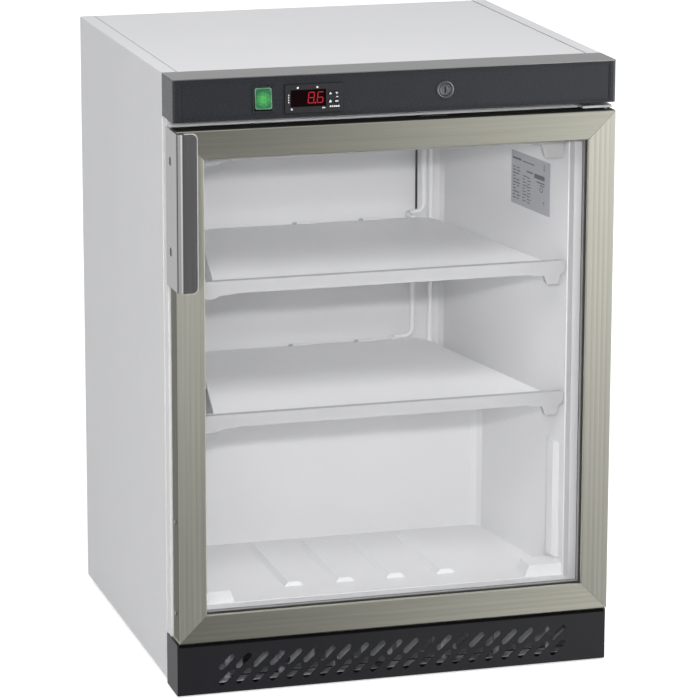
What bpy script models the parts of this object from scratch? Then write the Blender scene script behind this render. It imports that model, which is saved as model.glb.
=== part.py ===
"""Undercounter refrigerator with a glass door: one object per piece, in metres, +Z up, front towards -Y."""

import math

import bmesh
import bpy
from mathutils import Matrix, Vector

# Overall size and the planes that everything is measured from.
WIDTH = 0.600
HEIGHT = 0.830
DEPTH = 0.575
HANDLE_REACH = 0.083
HALF = WIDTH / 2
FRONT = HANDLE_REACH - DEPTH / 2
REAR = DEPTH / 2
GAP = 0.0003

# Cabinet shell, insulation and liner.
SHEET = 0.0008
PANEL_FOOT = 0.010
FLANGE = 0.0195
BACK_Y = FRONT + 0.452
FOAM_FLOOR = 0.070
MACHINE_WALL_Y = FRONT + 0.306
MACHINE_CEILING = 0.262
FRAME_FACE = FRONT - 0.018
MOUTH_HALF = 0.258
WALL_TAPER = 0.135
LINER_FLOOR = 0.108
LINER_CEILING = 0.735
HUMP_TOP = 0.300
LOWER_BACK = 0.265
UPPER_BACK = 0.395
LINER_SKIN = 0.0015

# Evaporator levels: the top of each shelf, and the plan shape that they share.
LEVELS = {"top": 0.728, "upper": 0.549, "lower": 0.3675}
SHELF_HALF = 0.2325
SHELF_TAPER = 0.187
SHELF_BACKS = {"top": 0.366, "upper": 0.336, "lower": 0.358}
SHELF_CORNER = 0.026
TRIM_HALF = 0.2562
TRIM_DEPTH = 0.012

# Door.
DOOR_LEFT = -0.2982
DOOR_RIGHT = 0.2995
DOOR_BOTTOM = 0.0765
DOOR_TOP = 0.763
DOOR_FACE = FRONT - 0.065
RAIL_WIDTH = 0.0375
RAIL_DEPTH = 0.033
GLASS_INSET = 0.0275
PANE = 0.004
GASKET_HALF = 0.2915
HINGE_X = 0.290
HINGE_Y = FRONT - 0.047
PIN_RADIUS = 0.003

# Fascia and its controls.
FASCIA_FACE = FRONT - 0.0614
FASCIA_BOTTOM = 0.774
FASCIA_WALL = 0.0025
SWITCH_X = -0.1812
SWITCH_Z = 0.8000
ROCKER_RADIUS = 0.0146
ROCKER_PIVOT_Y = FRONT - 0.0555
THERMOSTAT_X = -0.1142
THERMOSTAT_Z = 0.7990
KEY_SIZE = (0.0056, 0.0062)
KEY_XS = (-0.0925, -0.0840)
KEY_ZS = (0.8042, 0.7938)
LOCK_X = 0.0637
LOCK_Z = 0.8010
CAM_REACH = 0.043

# Plinth.
PLINTH_FACE = FRONT - 0.0585
PLINTH_BOTTOM = 0.003
PLINTH_TOP = 0.0735
SLOT_COUNT = 21
SLOT_PITCH = 0.02325
SLOT_ROWS = (0.0450, 0.0235)

FOOT_X = 0.262
FOOT_YS = {"front": FRONT + 0.045, "rear": FRONT + 0.445}

for leftover in list(bpy.data.objects):
    bpy.data.objects.remove(leftover, do_unlink=True)

parts = bpy.data.collections.new("undercounter_refrigerator")
cutters = bpy.data.collections.new("cutters")
bpy.context.scene.collection.children.link(parts)
bpy.context.scene.collection.children.link(cutters)
cutters.hide_render = True

FINISHES = {
    "white_steel": ((0.72, 0.73, 0.74), 0.0, 0.35),
    "white_plastic": ((0.70, 0.70, 0.70), 0.0, 0.45),
    "foam": ((0.75, 0.66, 0.42), 0.0, 0.95),
    "galvanised": ((0.55, 0.56, 0.57), 0.9, 0.45),
    "black_steel": ((0.03, 0.03, 0.035), 0.0, 0.45),
    "charcoal_plastic": ((0.06, 0.065, 0.075), 0.0, 0.40),
    "black_plastic": ((0.02, 0.02, 0.022), 0.0, 0.35),
    "brushed_aluminium": ((0.62, 0.61, 0.55), 1.0, 0.35),
    "stainless": ((0.62, 0.62, 0.61), 1.0, 0.28),
    "copper": ((0.72, 0.38, 0.24), 1.0, 0.35),
    "glass": ((0.85, 0.92, 0.90), 0.0, 0.03),
    "green_lens": ((0.02, 0.55, 0.18), 0.0, 0.25),
    "red_window": ((0.10, 0.01, 0.01), 0.0, 0.12),
    "rubber": ((0.55, 0.55, 0.55), 0.0, 0.70),
    "label_film": ((0.66, 0.66, 0.68), 0.0, 0.50),
}


def finish(name):
    """The named material, made on first use."""
    material = bpy.data.materials.get(name)
    if material is None:
        colour, metallic, roughness = FINISHES[name]
        material = bpy.data.materials.new(name)
        material.use_nodes = True
        shader = material.node_tree.nodes["Principled BSDF"]
        shader.inputs["Base Color"].default_value = (*colour, 1.0)
        shader.inputs["Metallic"].default_value = metallic
        shader.inputs["Roughness"].default_value = roughness
        material.diffuse_color = (*colour, 1.0)
    return material


def place(name, mesh, material):
    """An object for the mesh, among the parts, or among the cutters when it has no material."""
    item = bpy.data.objects.new(name, mesh)
    if material is None:
        cutters.objects.link(item)
        item.hide_render = True
        item.display_type = "WIRE"
    else:
        parts.objects.link(item)
        mesh.materials.append(finish(material))
    return item


def mesh_from(name, shape):
    mesh = bpy.data.meshes.new(name)
    bmesh.ops.recalc_face_normals(shape, faces=shape.faces)
    shape.to_mesh(mesh)
    shape.free()
    return mesh


def box(name, xs, ys, zs, material=None):
    """A block between the given limits on each axis."""
    limits = [sorted(pair) for pair in (xs, ys, zs)]
    size = [high - low for low, high in limits]
    middle = [(high + low) / 2 for low, high in limits]
    shape = bmesh.new()
    bmesh.ops.create_cube(shape, size=1.0)
    bmesh.ops.scale(shape, vec=size, verts=shape.verts)
    bmesh.ops.translate(shape, vec=middle, verts=shape.verts)
    return place(name, mesh_from(name, shape), material)


AXES = {
    "X": Matrix(((0, 0, 1), (1, 0, 0), (0, 1, 0))),
    "Y": Matrix(((1, 0, 0), (0, 0, -1), (0, 1, 0))),
    "Z": Matrix(((1, 0, 0), (0, 1, 0), (0, 0, 1))),
}


def cylinder(name, radius, axis, centre, ends, material=None, sides=20):
    """A cylinder along the axis. The centre holds the other two coordinates, in the order X, Y, Z."""
    low, high = sorted(ends)
    turn = AXES[axis].to_4x4()
    along = (low + high) / 2
    where = {"X": (along, *centre), "Y": (centre[0], along, centre[1]), "Z": (*centre, along)}[axis]
    shape = bmesh.new()
    bmesh.ops.create_cone(
        shape,
        cap_ends=True,
        segments=sides,
        radius1=radius,
        radius2=radius,
        depth=high - low,
        matrix=Matrix.Translation(where) @ turn,
    )
    return place(name, mesh_from(name, shape), material)


def prism(name, outline, axis, ends, material=None, more=()):
    """A flat outline drawn out along the axis. More outlines become holes, or blocks beside the first."""
    low, high = sorted(ends)
    curve = bpy.data.curves.new(name, "CURVE")
    curve.dimensions = "2D"
    curve.fill_mode = "BOTH"
    curve.extrude = (high - low) / 2
    for loop in (outline, *more):
        spline = curve.splines.new("POLY")
        spline.points.add(len(loop) - 1)
        spline.use_cyclic_u = True
        for point, (u, v) in zip(spline.points, loop):
            point.co = (u, v, 0.0, 1.0)
    sketch = bpy.data.objects.new(name + "_sketch", curve)
    bpy.context.scene.collection.objects.link(sketch)
    graph = bpy.context.evaluated_depsgraph_get()
    drawn = bpy.data.meshes.new_from_object(sketch.evaluated_get(graph))
    bpy.data.objects.remove(sketch, do_unlink=True)
    bpy.data.curves.remove(curve)
    shape = bmesh.new()
    shape.from_mesh(drawn)
    bpy.data.meshes.remove(drawn)
    bmesh.ops.remove_doubles(shape, verts=shape.verts, dist=1e-6)
    if not more:
        bmesh.ops.dissolve_limit(shape, angle_limit=0.001, verts=shape.verts, edges=shape.edges)
    along = Vector(AXES[axis].col[2]) * (low + high) / 2 * (-1 if axis == "Y" else 1)
    bmesh.ops.transform(shape, matrix=Matrix.Translation(along) @ AXES[axis].to_4x4(), verts=shape.verts)
    return place(name, mesh_from(name, shape), material)


def revolve(name, profile, centre, material, steps=24):
    """A profile of (radius, height) points, open on the axis at both ends, turned about a vertical axis."""
    mesh = bpy.data.meshes.new(name)
    edges = [(index, index + 1) for index in range(len(profile) - 1)]
    mesh.from_pydata([(radius, 0.0, height) for radius, height in profile], edges, [])
    item = place(name, mesh, material)
    item.location = (*centre, 0.0)
    screw = item.modifiers.new("turn", "SCREW")
    screw.steps = steps
    screw.render_steps = steps
    screw.use_merge_vertices = True
    screw.merge_threshold = 0.00001
    screw.use_normal_calculate = True
    return item


def tube(name, points, radius, material, bend=0.02, sides=2):
    """A round pipe along the points, with rounded bends."""
    path = [Vector(point) for point in points]
    smooth = [path[0]]
    for before, corner, after in zip(path, path[1:], path[2:]):
        arm_in = (before - corner).normalized() * min(bend, (before - corner).length * 0.45)
        arm_out = (after - corner).normalized() * min(bend, (after - corner).length * 0.45)
        for step in range(5):
            share = step / 4
            first = (corner + arm_in).lerp(corner, share)
            second = corner.lerp(corner + arm_out, share)
            smooth.append(first.lerp(second, share))
    smooth.append(path[-1])
    curve = bpy.data.curves.new(name, "CURVE")
    curve.dimensions = "3D"
    curve.bevel_depth = radius
    curve.bevel_resolution = sides
    curve.use_fill_caps = True
    spline = curve.splines.new("POLY")
    spline.points.add(len(smooth) - 1)
    for point, where in zip(spline.points, smooth):
        point.co = (*where, 1.0)
    item = bpy.data.objects.new(name, curve)
    parts.objects.link(item)
    curve.materials.append(finish(material))
    return item


def combine(target, other, operation="DIFFERENCE"):
    """Cuts the other object from the target, or joins it to the target."""
    step = target.modifiers.new(other.name, "BOOLEAN")
    step.object = other
    step.operation = operation
    step.solver = "EXACT"


def soften(item, width, segments=2):
    edge = item.modifiers.new("soft_edges", "BEVEL")
    edge.width = width
    edge.segments = segments
    edge.limit_method = "ANGLE"
    edge.angle_limit = math.radians(40)


def set_origin(item, where):
    """Moves the object's origin without moving its shape."""
    shift = Vector(where) - item.location
    item.data.transform(Matrix.Translation(-shift))
    item.location = where


def carry(name, where, items):
    """An empty on a joint axis that carries the moving pieces."""
    axis = bpy.data.objects.new(name, None)
    axis.location = where
    axis.empty_display_size = 0.05
    parts.objects.link(axis)
    for item in items:
        item.parent = axis
        item.matrix_parent_inverse = Matrix.Translation(-Vector(where))


def folded(path, thickness):
    """The outline of a sheet folded along the path, with the thickness on the left of its direction."""
    inner = []
    for index, corner in enumerate(path):
        sides = []
        for start, end in ((index - 1, index), (index, index + 1)):
            if 0 <= start and end < len(path):
                along = (Vector(path[end]) - Vector(path[start])).normalized()
                sides.append(Vector((-along.y, along.x)))
        if len(sides) == 2:
            normal = (sides[0] + sides[1]) / (1 + sides[0].dot(sides[1]))
        else:
            normal = sides[0]
        inner.append(tuple(Vector(corner) + normal * thickness))
    return [*path, *reversed(inner)]


def rectangle(us, vs):
    return [(us[0], vs[0]), (us[1], vs[0]), (us[1], vs[1]), (us[0], vs[1])]


def ring(centre, radius, sides):
    turns = [2 * math.pi * index / sides for index in range(sides)]
    return [(centre[0] + radius * math.cos(turn), centre[1] + radius * math.sin(turn)) for turn in turns]


def cabinet_shell():
    for side, sign in (("left", -1), ("right", 1)):
        path = [
            (sign * (HALF - FLANGE), HEIGHT),
            (sign * (HALF - 0.0006), HEIGHT),
            (sign * HALF, HEIGHT - 0.0006),
            (sign * HALF, PANEL_FOOT),
            (sign * (HALF - 0.014), PANEL_FOOT),
        ]
        outline = folded(path if sign < 0 else path[::-1], SHEET)
        prism(f"side_panel_{side}", outline, "Y", (FRONT, REAR - 0.0010), "white_steel")
    lid_half = HALF - FLANGE - 0.0006
    lid = [(lid_half, 0.818), (lid_half, HEIGHT - 0.0004), (-lid_half, HEIGHT - 0.0004), (-lid_half, 0.818)]
    prism("top_panel", folded(lid, SHEET), "Y", (FRONT, REAR), "white_steel")
    inside = HALF - SHEET - GAP
    box("back_panel", (-inside, inside), (BACK_Y, BACK_Y + SHEET), (MACHINE_CEILING, 0.8175), "galvanised")
    path = [
        (FRONT + 0.001, FOAM_FLOOR - GAP),
        (MACHINE_WALL_Y + GAP, FOAM_FLOOR - GAP),
        (MACHINE_WALL_Y + GAP, MACHINE_CEILING - GAP),
        (BACK_Y - GAP, MACHINE_CEILING - GAP),
    ]
    outline = folded(path[::-1], SHEET)
    prism("machine_compartment_lining", outline, "X", (-inside, inside), "galvanised")


def cavity_plan(grow, back, start):
    """Plan of the storage space: walls that narrow towards a rear with blunted corners."""

    def wall(depth):
        return MOUTH_HALF - WALL_TAPER * depth + grow

    blunt = 0.012
    rear = back + grow
    right = [
        (wall(start), FRONT + start),
        (wall(rear - blunt), FRONT + rear - blunt),
        (wall(rear) - 0.3 * blunt, FRONT + rear - 0.3 * blunt),
        (wall(rear) - blunt, FRONT + rear),
    ]
    return right + [(-x, y) for x, y in reversed(right)]


def insulation_and_liner():
    inside = HALF - SHEET - GAP
    outline = [
        (FRONT + GAP, FOAM_FLOOR),
        (MACHINE_WALL_Y, FOAM_FLOOR),
        (MACHINE_WALL_Y, MACHINE_CEILING),
        (BACK_Y - GAP, MACHINE_CEILING),
        (BACK_Y - GAP, 0.8175),
        (FRONT + GAP, 0.8175),
    ]
    foam = prism("insulation", outline, "X", (-inside, inside), "foam")
    skin = LINER_SKIN
    levels = (
        ("lower", LOWER_BACK, (LINER_FLOOR, HUMP_TOP + 0.010)),
        ("upper", UPPER_BACK, (HUMP_TOP, LINER_CEILING)),
    )
    shells = {}
    for level, back, (floor, ceiling) in levels:
        top = ceiling if level == "lower" else ceiling + skin
        shell_ends = (floor - skin, top)
        material = "white_plastic" if level == "upper" else None
        shell = prism(
            "liner" if level == "upper" else "liner_lower_shell",
            cavity_plan(skin, back, 0.0006),
            "Z",
            shell_ends,
            material,
        )
        shells[level] = shell
        pocket = prism(
            f"foam_pocket_{level}",
            cavity_plan(skin + GAP, back, -0.02),
            "Z",
            (floor - skin - GAP, top if level == "lower" else top + GAP),
        )
        combine(foam, pocket)
    liner = shells["upper"]
    combine(liner, shells["lower"], "UNION")
    for level, back, (floor, ceiling) in levels:
        hollow = prism(f"liner_hollow_{level}", cavity_plan(0.0, back, -0.02), "Z", (floor, ceiling))
        combine(liner, hollow)
    for index, x in enumerate((-0.110, -0.038, 0.034, 0.106)):
        spine = [(x - 0.014, LINER_FLOOR - 0.0008), (x + 0.014, LINER_FLOOR - 0.0008)]
        spine += [(x + 0.008, LINER_FLOOR + 0.006), (x - 0.008, LINER_FLOOR + 0.006)]
        rib = prism(f"floor_rib_{index}", spine, "Y", (FRONT + 0.050, FRONT + LOWER_BACK - 0.030))
        combine(liner, rib, "UNION")
    for side, sign in (("left", -1), ("right", 1)):
        block = box(
            f"floor_block_{side}",
            (sign * 0.205, sign * (MOUTH_HALF + 0.0004)),
            (FRONT + 0.0040, FRONT + 0.040),
            (LINER_FLOOR - 0.0008, LINER_FLOOR + 0.016),
        )
        reach = MOUTH_HALF - WALL_TAPER * 0.040
        for vertex in block.data.vertices:
            if abs(vertex.co.x) > 0.25 and vertex.co.y > FRONT + 0.02:
                vertex.co.x = sign * (reach + 0.0004)
            if abs(vertex.co.x) < 0.21 and vertex.co.z > LINER_FLOOR:
                vertex.co.x += sign * 0.006
        combine(liner, block, "UNION")


def front_frame():
    notch = HALF - FASCIA_WALL - 0.0008
    outline = [
        (-0.2985, PLINTH_TOP + GAP),
        (0.2985, PLINTH_TOP + GAP),
        (0.2985, FASCIA_BOTTOM - GAP),
        (notch, FASCIA_BOTTOM - GAP),
        (notch, 0.8270),
        (-notch, 0.8270),
        (-notch, FASCIA_BOTTOM - GAP),
        (-0.2985, FASCIA_BOTTOM - GAP),
    ]
    mouth = MOUTH_HALF + 0.0015
    opening = rectangle((-mouth, mouth), (LINER_FLOOR - 0.001, LINER_CEILING + 0.0015))
    frame = prism("front_frame", outline, "Y", (FRAME_FACE, FRONT - GAP), "white_plastic", more=[opening])
    hole = cylinder("front_frame_wire_hole", 0.010, "Y", (-0.150, 0.800), (FRAME_FACE - 0.01, FRONT + 0.01))
    combine(frame, hole)


def base():
    inside = HALF - SHEET - 0.0009
    path = [
        (FRONT - 0.0165, 0.0690),
        (FRONT - 0.0165, PANEL_FOOT + 0.0012),
        (REAR - 0.0030, PANEL_FOOT + 0.0012),
        (REAR - 0.0030, 0.030),
    ]
    pan = prism("base_pan", folded(path, 0.0012), "X", (-inside, inside), "galvanised")
    for row, y in FOOT_YS.items():
        for side, sign in (("left", -1), ("right", 1)):
            name = f"foot_{row}_{side}"
            centre = (sign * FOOT_X, y)
            combine(pan, cylinder(name + "_hole", 0.0047, "Z", centre, (0.0, 0.03), sides=16))
            profile = [
                (0.0, 0.0),
                (0.015, 0.0),
                (0.016, 0.0012),
                (0.016, 0.0058),
                (0.013, 0.0090),
                (0.0040, 0.0090),
                (0.0040, 0.0330),
                (0.0, 0.0330),
            ]
            revolve(name, profile, centre, "black_plastic", steps=20)
    vent = prism(
        "base_pan_vents",
        rectangle((-0.200, -0.184), (0.022, 0.060)),
        "Y",
        (FRONT - 0.03, FRONT),
        more=[rectangle((x, x + 0.016), (0.022, 0.060)) for x in (-0.150, -0.100, -0.050, 0.0, 0.050, 0.100)],
    )
    combine(pan, vent)


def slanted_slot(x, z):
    """Outline of one louvre slot, leaning to the right."""
    lean = math.radians(43)
    half_length = 0.0098
    radius = 0.0040
    outline = []
    for end in (0, 1):
        for step in range(5):
            turn = lean - math.pi / 2 + math.pi * (step / 4 + end)
            reach = half_length if end == 0 else -half_length
            outline.append(
                (
                    x + reach * math.cos(lean) + radius * math.cos(turn),
                    z + reach * math.sin(lean) + radius * math.sin(turn),
                )
            )
    return outline


def plinth():
    path = [
        (-HALF, FRONT - GAP),
        (-HALF, PLINTH_FACE),
        (HALF, PLINTH_FACE),
        (HALF, FRONT - GAP),
    ]
    grille = prism("plinth_grille", folded(path, 0.0012), "Z", (PLINTH_BOTTOM, PLINTH_TOP), "black_steel")
    first = -SLOT_PITCH * (SLOT_COUNT - 1) / 2
    slots = [slanted_slot(first + SLOT_PITCH * index, z) for z in SLOT_ROWS for index in range(SLOT_COUNT)]
    cutter = prism("plinth_slots", slots[0], "Y", (PLINTH_FACE - 0.01, PLINTH_FACE + 0.01), more=slots[1:])
    combine(grille, cutter)


def evaporator():
    for level, top in LEVELS.items():
        start = TRIM_DEPTH + 0.0015
        back = SHELF_BACKS[level]
        outline = [(SHELF_HALF - SHELF_TAPER * start, FRONT + start)]
        for step in range(6):
            turn = math.radians(18 * step)
            depth = back - SHELF_CORNER * (1 - math.sin(turn))
            side = SHELF_HALF - SHELF_TAPER * depth
            outline.append((side - SHELF_CORNER * (1 - math.cos(turn)), FRONT + depth))
        outline += [(-x, y) for x, y in reversed(outline)]
        plate = prism(f"evaporator_{level}", outline, "Z", (top - 0.0035, top - 0.0015), "white_plastic")
        soften(plate, 0.0006, 1)
        bottom = top - 0.017
        if level == "top":
            tab = [(0.2190, bottom - 0.0020), (0.2255, bottom - 0.0210), (0.2500, bottom - 0.0210)]
        else:
            tab = [(0.2250, bottom - 0.0020), (0.2300, bottom - 0.0150), (0.2470, bottom - 0.0150)]
        right = [
            (0.205, bottom),
            (0.2080, bottom - 0.0020),
            *tab,
            (tab[-1][0] + 0.0020, bottom - 0.0020),
            (0.2535, bottom),
            (TRIM_HALF, bottom + 0.004),
            (TRIM_HALF, top - 0.003),
            (0.2535, top),
        ]
        left = [(-x, max(z, bottom - 0.0070)) for x, z in reversed(right)]
        outline = right + left
        ends = (FRONT + 0.0012, FRONT + TRIM_DEPTH)
        soften(prism(f"shelf_trim_{level}", outline, "Y", ends, "white_plastic"), 0.0007, 1)
    y = FRONT + 0.3755
    edge_top, edge_upper, edge_lower = (FRONT + SHELF_BACKS[level] + GAP for level in SHELF_BACKS)
    high, middle, low = (LEVELS[level] - 0.0025 for level in ("top", "upper", "lower"))
    tube(
        "evaporator_pipe_upper",
        [
            (0.145, edge_top, high),
            (0.145, y, high),
            (0.173, y, high),
            (0.173, y, middle),
            (0.145, y, middle),
            (0.145, edge_upper, middle),
        ],
        0.004,
        "white_plastic",
    )
    tube(
        "evaporator_pipe_lower",
        [
            (0.1566, edge_upper, middle - 0.0085),
            (0.1566, y, middle - 0.0085),
            (0.1566, y, low),
            (0.124, y, low),
            (0.124, edge_lower, low),
        ],
        0.004,
        "white_plastic",
        bend=0.014,
    )
    tube(
        "evaporator_return_pipe",
        [(0.1830, y, LINER_CEILING - 0.0005), (0.1830, y, low - 0.030), (0.1560, y, low - 0.030)],
        0.0035,
        "white_plastic",
        bend=0.012,
    )
    tube(
        "thermostat_probe",
        [(0.1640, y + 0.0080, LINER_CEILING - 0.0005), (0.1640, y + 0.0080, middle - 0.004)],
        0.0017,
        "black_plastic",
    )
    depth = 0.111
    lean = math.atan(WALL_TAPER)
    label = box("rating_label", (-0.0002, 0.0002), (-0.0585, 0.0585), (0.5980, 0.6720), "label_film")
    wall = MOUTH_HALF - WALL_TAPER * depth
    label.rotation_euler = (0, 0, lean)
    label.location = (wall - 0.0006, FRONT + depth, 0.0)


def rail(name, direction, outer, ends, inwards):
    """One mitred door rail. Its section is fluted in front and holds the glass unit in a groove behind."""
    front = [(0.0, 0.0010), (0.0010, 0.0)]
    for flute in (0.0070, 0.0140, 0.0210, 0.0280):
        front += [(flute - 0.0006, 0.0), (flute + 0.0019, 0.00016), (flute + 0.0044, 0.0)]
    section = front + [
        (RAIL_WIDTH - 0.0010, 0.0),
        (RAIL_WIDTH, 0.0010),
        (RAIL_WIDTH, 0.0047),
        (0.0268, 0.0047),
        (0.0268, 0.0253),
        (0.0345, 0.0253),
        (0.0345, RAIL_DEPTH),
        (0.0, RAIL_DEPTH),
    ]
    axis = "Z" if direction == "upright" else "X"
    if direction == "upright":
        outline = [(outer + inwards * u, DOOR_FACE + v) for u, v in section]
    else:
        outline = [(DOOR_FACE + v, outer + inwards * u) for u, v in section]
    item = prism(name, outline, axis, ends, "brushed_aluminium")
    middle = sum(ends) / 2
    across, along = (0, 2) if direction == "upright" else (2, 0)
    for vertex in item.data.vertices:
        mitre = abs(vertex.co[across] - outer) + 0.0002
        vertex.co[along] += mitre if vertex.co[along] < middle else -mitre
    return item


def picture_frame(name, inset, thickness, ys, material):
    """A closed rectangular band, set in from the door's edges."""
    xs = (DOOR_LEFT + inset, DOOR_RIGHT - inset)
    zs = (DOOR_BOTTOM + inset, DOOR_TOP - inset)
    hole_xs = (xs[0] + thickness, xs[1] - thickness)
    hole_zs = (zs[0] + thickness, zs[1] - thickness)
    return prism(name, rectangle(xs, zs), "Y", ys, material, more=[rectangle(hole_xs, hole_zs)])


def handle():
    """A bent sheet: a plate on the door's edge, a round bend and a flat grip in front of the door."""
    outer = -HALF
    front = FRONT - HANDLE_REACH
    bend = 0.0085
    path = [(outer, FRONT - 0.0185)]
    for step in range(7):
        turn = math.pi / 2 * step / 6
        path.append((outer + bend * (1 - math.cos(turn)), front + bend * (1 - math.sin(turn))))
    path.append((-0.2745, front))
    grip = prism("handle", folded(path, 0.0015), "Z", (0.5550, DOOR_TOP - 0.0003), "stainless")
    corner = 0.007
    view = [(outer - 0.01, 0.5550)]
    for centre_z, start in ((0.5550 + corner, -90), (DOOR_TOP - 0.0003 - corner, 0)):
        for step in range(5):
            turn = math.radians(start + 90 * step / 4)
            view.append((-0.2745 - corner + corner * math.cos(turn), centre_z + corner * math.sin(turn)))
    view.append((outer - 0.01, DOOR_TOP))
    cutter = prism("handle_outline", view, "Y", (front - 0.01, FRONT))
    combine(grip, cutter, "INTERSECT")
    return grip


def door():
    pieces = [
        rail("door_stile_left", "upright", DOOR_LEFT, (DOOR_BOTTOM, DOOR_TOP), 1),
        rail("door_stile_right", "upright", DOOR_RIGHT, (DOOR_BOTTOM, DOOR_TOP), -1),
        rail("door_rail_top", "level", DOOR_TOP, (DOOR_LEFT, DOOR_RIGHT), -1),
        rail("door_rail_bottom", "level", DOOR_BOTTOM, (DOOR_LEFT, DOOR_RIGHT), 1),
    ]
    left, right, top, bottom = pieces
    for level, edge, depth in (("upper", DOOR_TOP, -0.019), ("lower", DOOR_BOTTOM, 0.019)):
        ends = (edge - math.copysign(0.01, depth), edge + depth)
        pivot = (HINGE_X, HINGE_Y)
        socket = cylinder(f"hinge_socket_{level}", PIN_RADIUS + 0.0005, "Z", pivot, ends, sides=16)
        combine(right, socket)
        combine(top if level == "upper" else bottom, socket)
    keep = box(
        "lock_keep_slot",
        (LOCK_X - 0.026, LOCK_X + 0.010),
        (FRONT - 0.0420, FRONT - 0.0360),
        (DOOR_TOP - 0.0100, DOOR_TOP + 0.01),
    )
    combine(top, keep)
    xs = (DOOR_LEFT + GLASS_INSET, DOOR_RIGHT - GLASS_INSET)
    zs = (DOOR_BOTTOM + GLASS_INSET, DOOR_TOP - GLASS_INSET)
    near = DOOR_FACE + 0.0050
    far = DOOR_FACE + 0.0250
    pieces.append(box("glass_outer", xs, (near, near + PANE), zs, "glass"))
    pieces.append(box("glass_inner", xs, (far - PANE, far), zs, "glass"))
    between = (near + PANE + GAP, far - PANE - GAP)
    pieces.append(picture_frame("glazing_spacer", GLASS_INSET, 0.0110, between, "black_plastic"))
    inset = DOOR_RIGHT - GASKET_HALF
    behind = (DOOR_FACE + RAIL_DEPTH + GAP, FRAME_FACE - GAP)
    seal = picture_frame("door_gasket", inset, 0.0140, behind, "rubber")
    soften(seal, 0.0025, 2)
    pieces.append(seal)
    grip = handle()
    pieces.append(grip)
    fixings = (
        ("handle_screw_upper", 0.7216, 0.0033, FRONT - 0.0420),
        ("handle_screw_lower", 0.6023, 0.0033, FRONT - 0.0420),
        ("door_plug_upper", 0.2407, 0.0030, FRONT - 0.0480),
        ("door_plug_lower", 0.1159, 0.0030, FRONT - 0.0480),
    )
    for name, z, radius, y in fixings:
        head = cylinder(name, radius, "X", (y, z), (-HALF + 0.0001, DOOR_LEFT - GAP), "stainless", sides=16)
        reach = (DOOR_LEFT - 0.0006, DOOR_LEFT + 0.010)
        shank = cylinder(name + "_shank", 0.0018, "X", (y, z), reach, sides=12)
        combine(head, shank, "UNION")
        bore = cylinder(name + "_bore", 0.0022, "X", (y, z), (DOOR_LEFT - 0.01, DOOR_LEFT + 0.011), sides=12)
        combine(left, bore)
        if name.startswith("handle"):
            through = (-HALF - 0.01, -HALF + 0.01)
            sink = cylinder(name + "_sink", radius + 0.0004, "X", (y, z), through, sides=16)
            combine(grip, sink)
        pieces.append(head)
    carry("door_axis", (HINGE_X, HINGE_Y, DOOR_BOTTOM), pieces)


def hinges():
    thick = 0.0024
    for level, leaf, reach in (("upper", 0.7662, 0.800), ("lower", 0.0738, 0.034)):
        up = 1 if level == "upper" else -1
        wall_y = FRAME_FACE - GAP
        if level == "upper":
            path = [(HINGE_Y - 0.009, leaf), (wall_y, leaf), (wall_y, reach)]
            outline = folded(path, 0.0030)
        else:
            path = [(HINGE_Y - 0.009, leaf + thick), (wall_y, leaf + thick), (wall_y, reach)]
            outline = folded(path[::-1], thick)
        bracket = prism(f"hinge_bracket_{level}", outline, "X", (0.2560, 0.2968), "galvanised")
        inner = leaf + 0.001
        pin_end = DOOR_TOP - 0.016 if up > 0 else DOOR_BOTTOM + 0.016
        pin = cylinder(f"hinge_pin_{level}", PIN_RADIUS, "Z", (HINGE_X, HINGE_Y), (inner, pin_end), sides=16)
        combine(bracket, pin, "UNION")


def fascia():
    back = FRONT - GAP
    wall = FASCIA_WALL
    bend = 0.0035
    turns = [math.radians(22.5 * step) for step in range(5)]
    left = [
        (-HALF + bend - bend * math.cos(turn), FASCIA_FACE + bend - bend * math.sin(turn)) for turn in turns
    ]
    right = [(-x, y) for x, y in reversed(left)]
    path = [(-HALF, back), *left, *right, (HALF, back)]
    top = HEIGHT - 0.0015
    housing = prism("fascia_housing", folded(path, wall), "Z", (FASCIA_BOTTOM, top), "charcoal_plastic")
    floor = box(
        "fascia_floor",
        (-HALF + 0.002, HALF - 0.002),
        (FASCIA_FACE + 0.001, FRAME_FACE - 0.0045),
        (FASCIA_BOTTOM, FASCIA_BOTTOM + wall),
    )
    combine(housing, floor, "UNION")
    field = box(
        "fascia_field",
        (-HALF + 0.010, HALF - 0.010),
        (FASCIA_FACE - 0.01, FASCIA_FACE + 0.0008),
        (FASCIA_BOTTOM + 0.0050, top - 0.0060),
    )
    combine(housing, field)
    ways = (
        ("switch_way", SWITCH_X, 0.0132, SWITCH_Z, 0.0158),
        ("thermostat_way", THERMOSTAT_X, 0.0360, THERMOSTAT_Z, 0.0150),
    )
    for name, x, half_width, z, half_height in ways:
        xs = (x - half_width, x + half_width)
        zs = (z - half_height, z + half_height)
        combine(housing, box(name, xs, (FASCIA_FACE - 0.01, FASCIA_FACE + 0.01), zs))
    lock_way = cylinder("lock_way", 0.0100, "Y", (LOCK_X, LOCK_Z), (FASCIA_FACE - 0.01, FASCIA_FACE + 0.01))
    combine(housing, lock_way)
    cam_way = box(
        "cam_way",
        (LOCK_X - 0.040, LOCK_X + 0.010),
        (FRONT - 0.0425, FRONT - 0.0355),
        (FASCIA_BOTTOM - 0.01, FASCIA_BOTTOM + 0.01),
    )
    combine(housing, cam_way)
    box("fascia_top_strip", (-HALF, HALF), (FASCIA_FACE, back), (top + GAP, HEIGHT), "brushed_aluminium")


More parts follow.
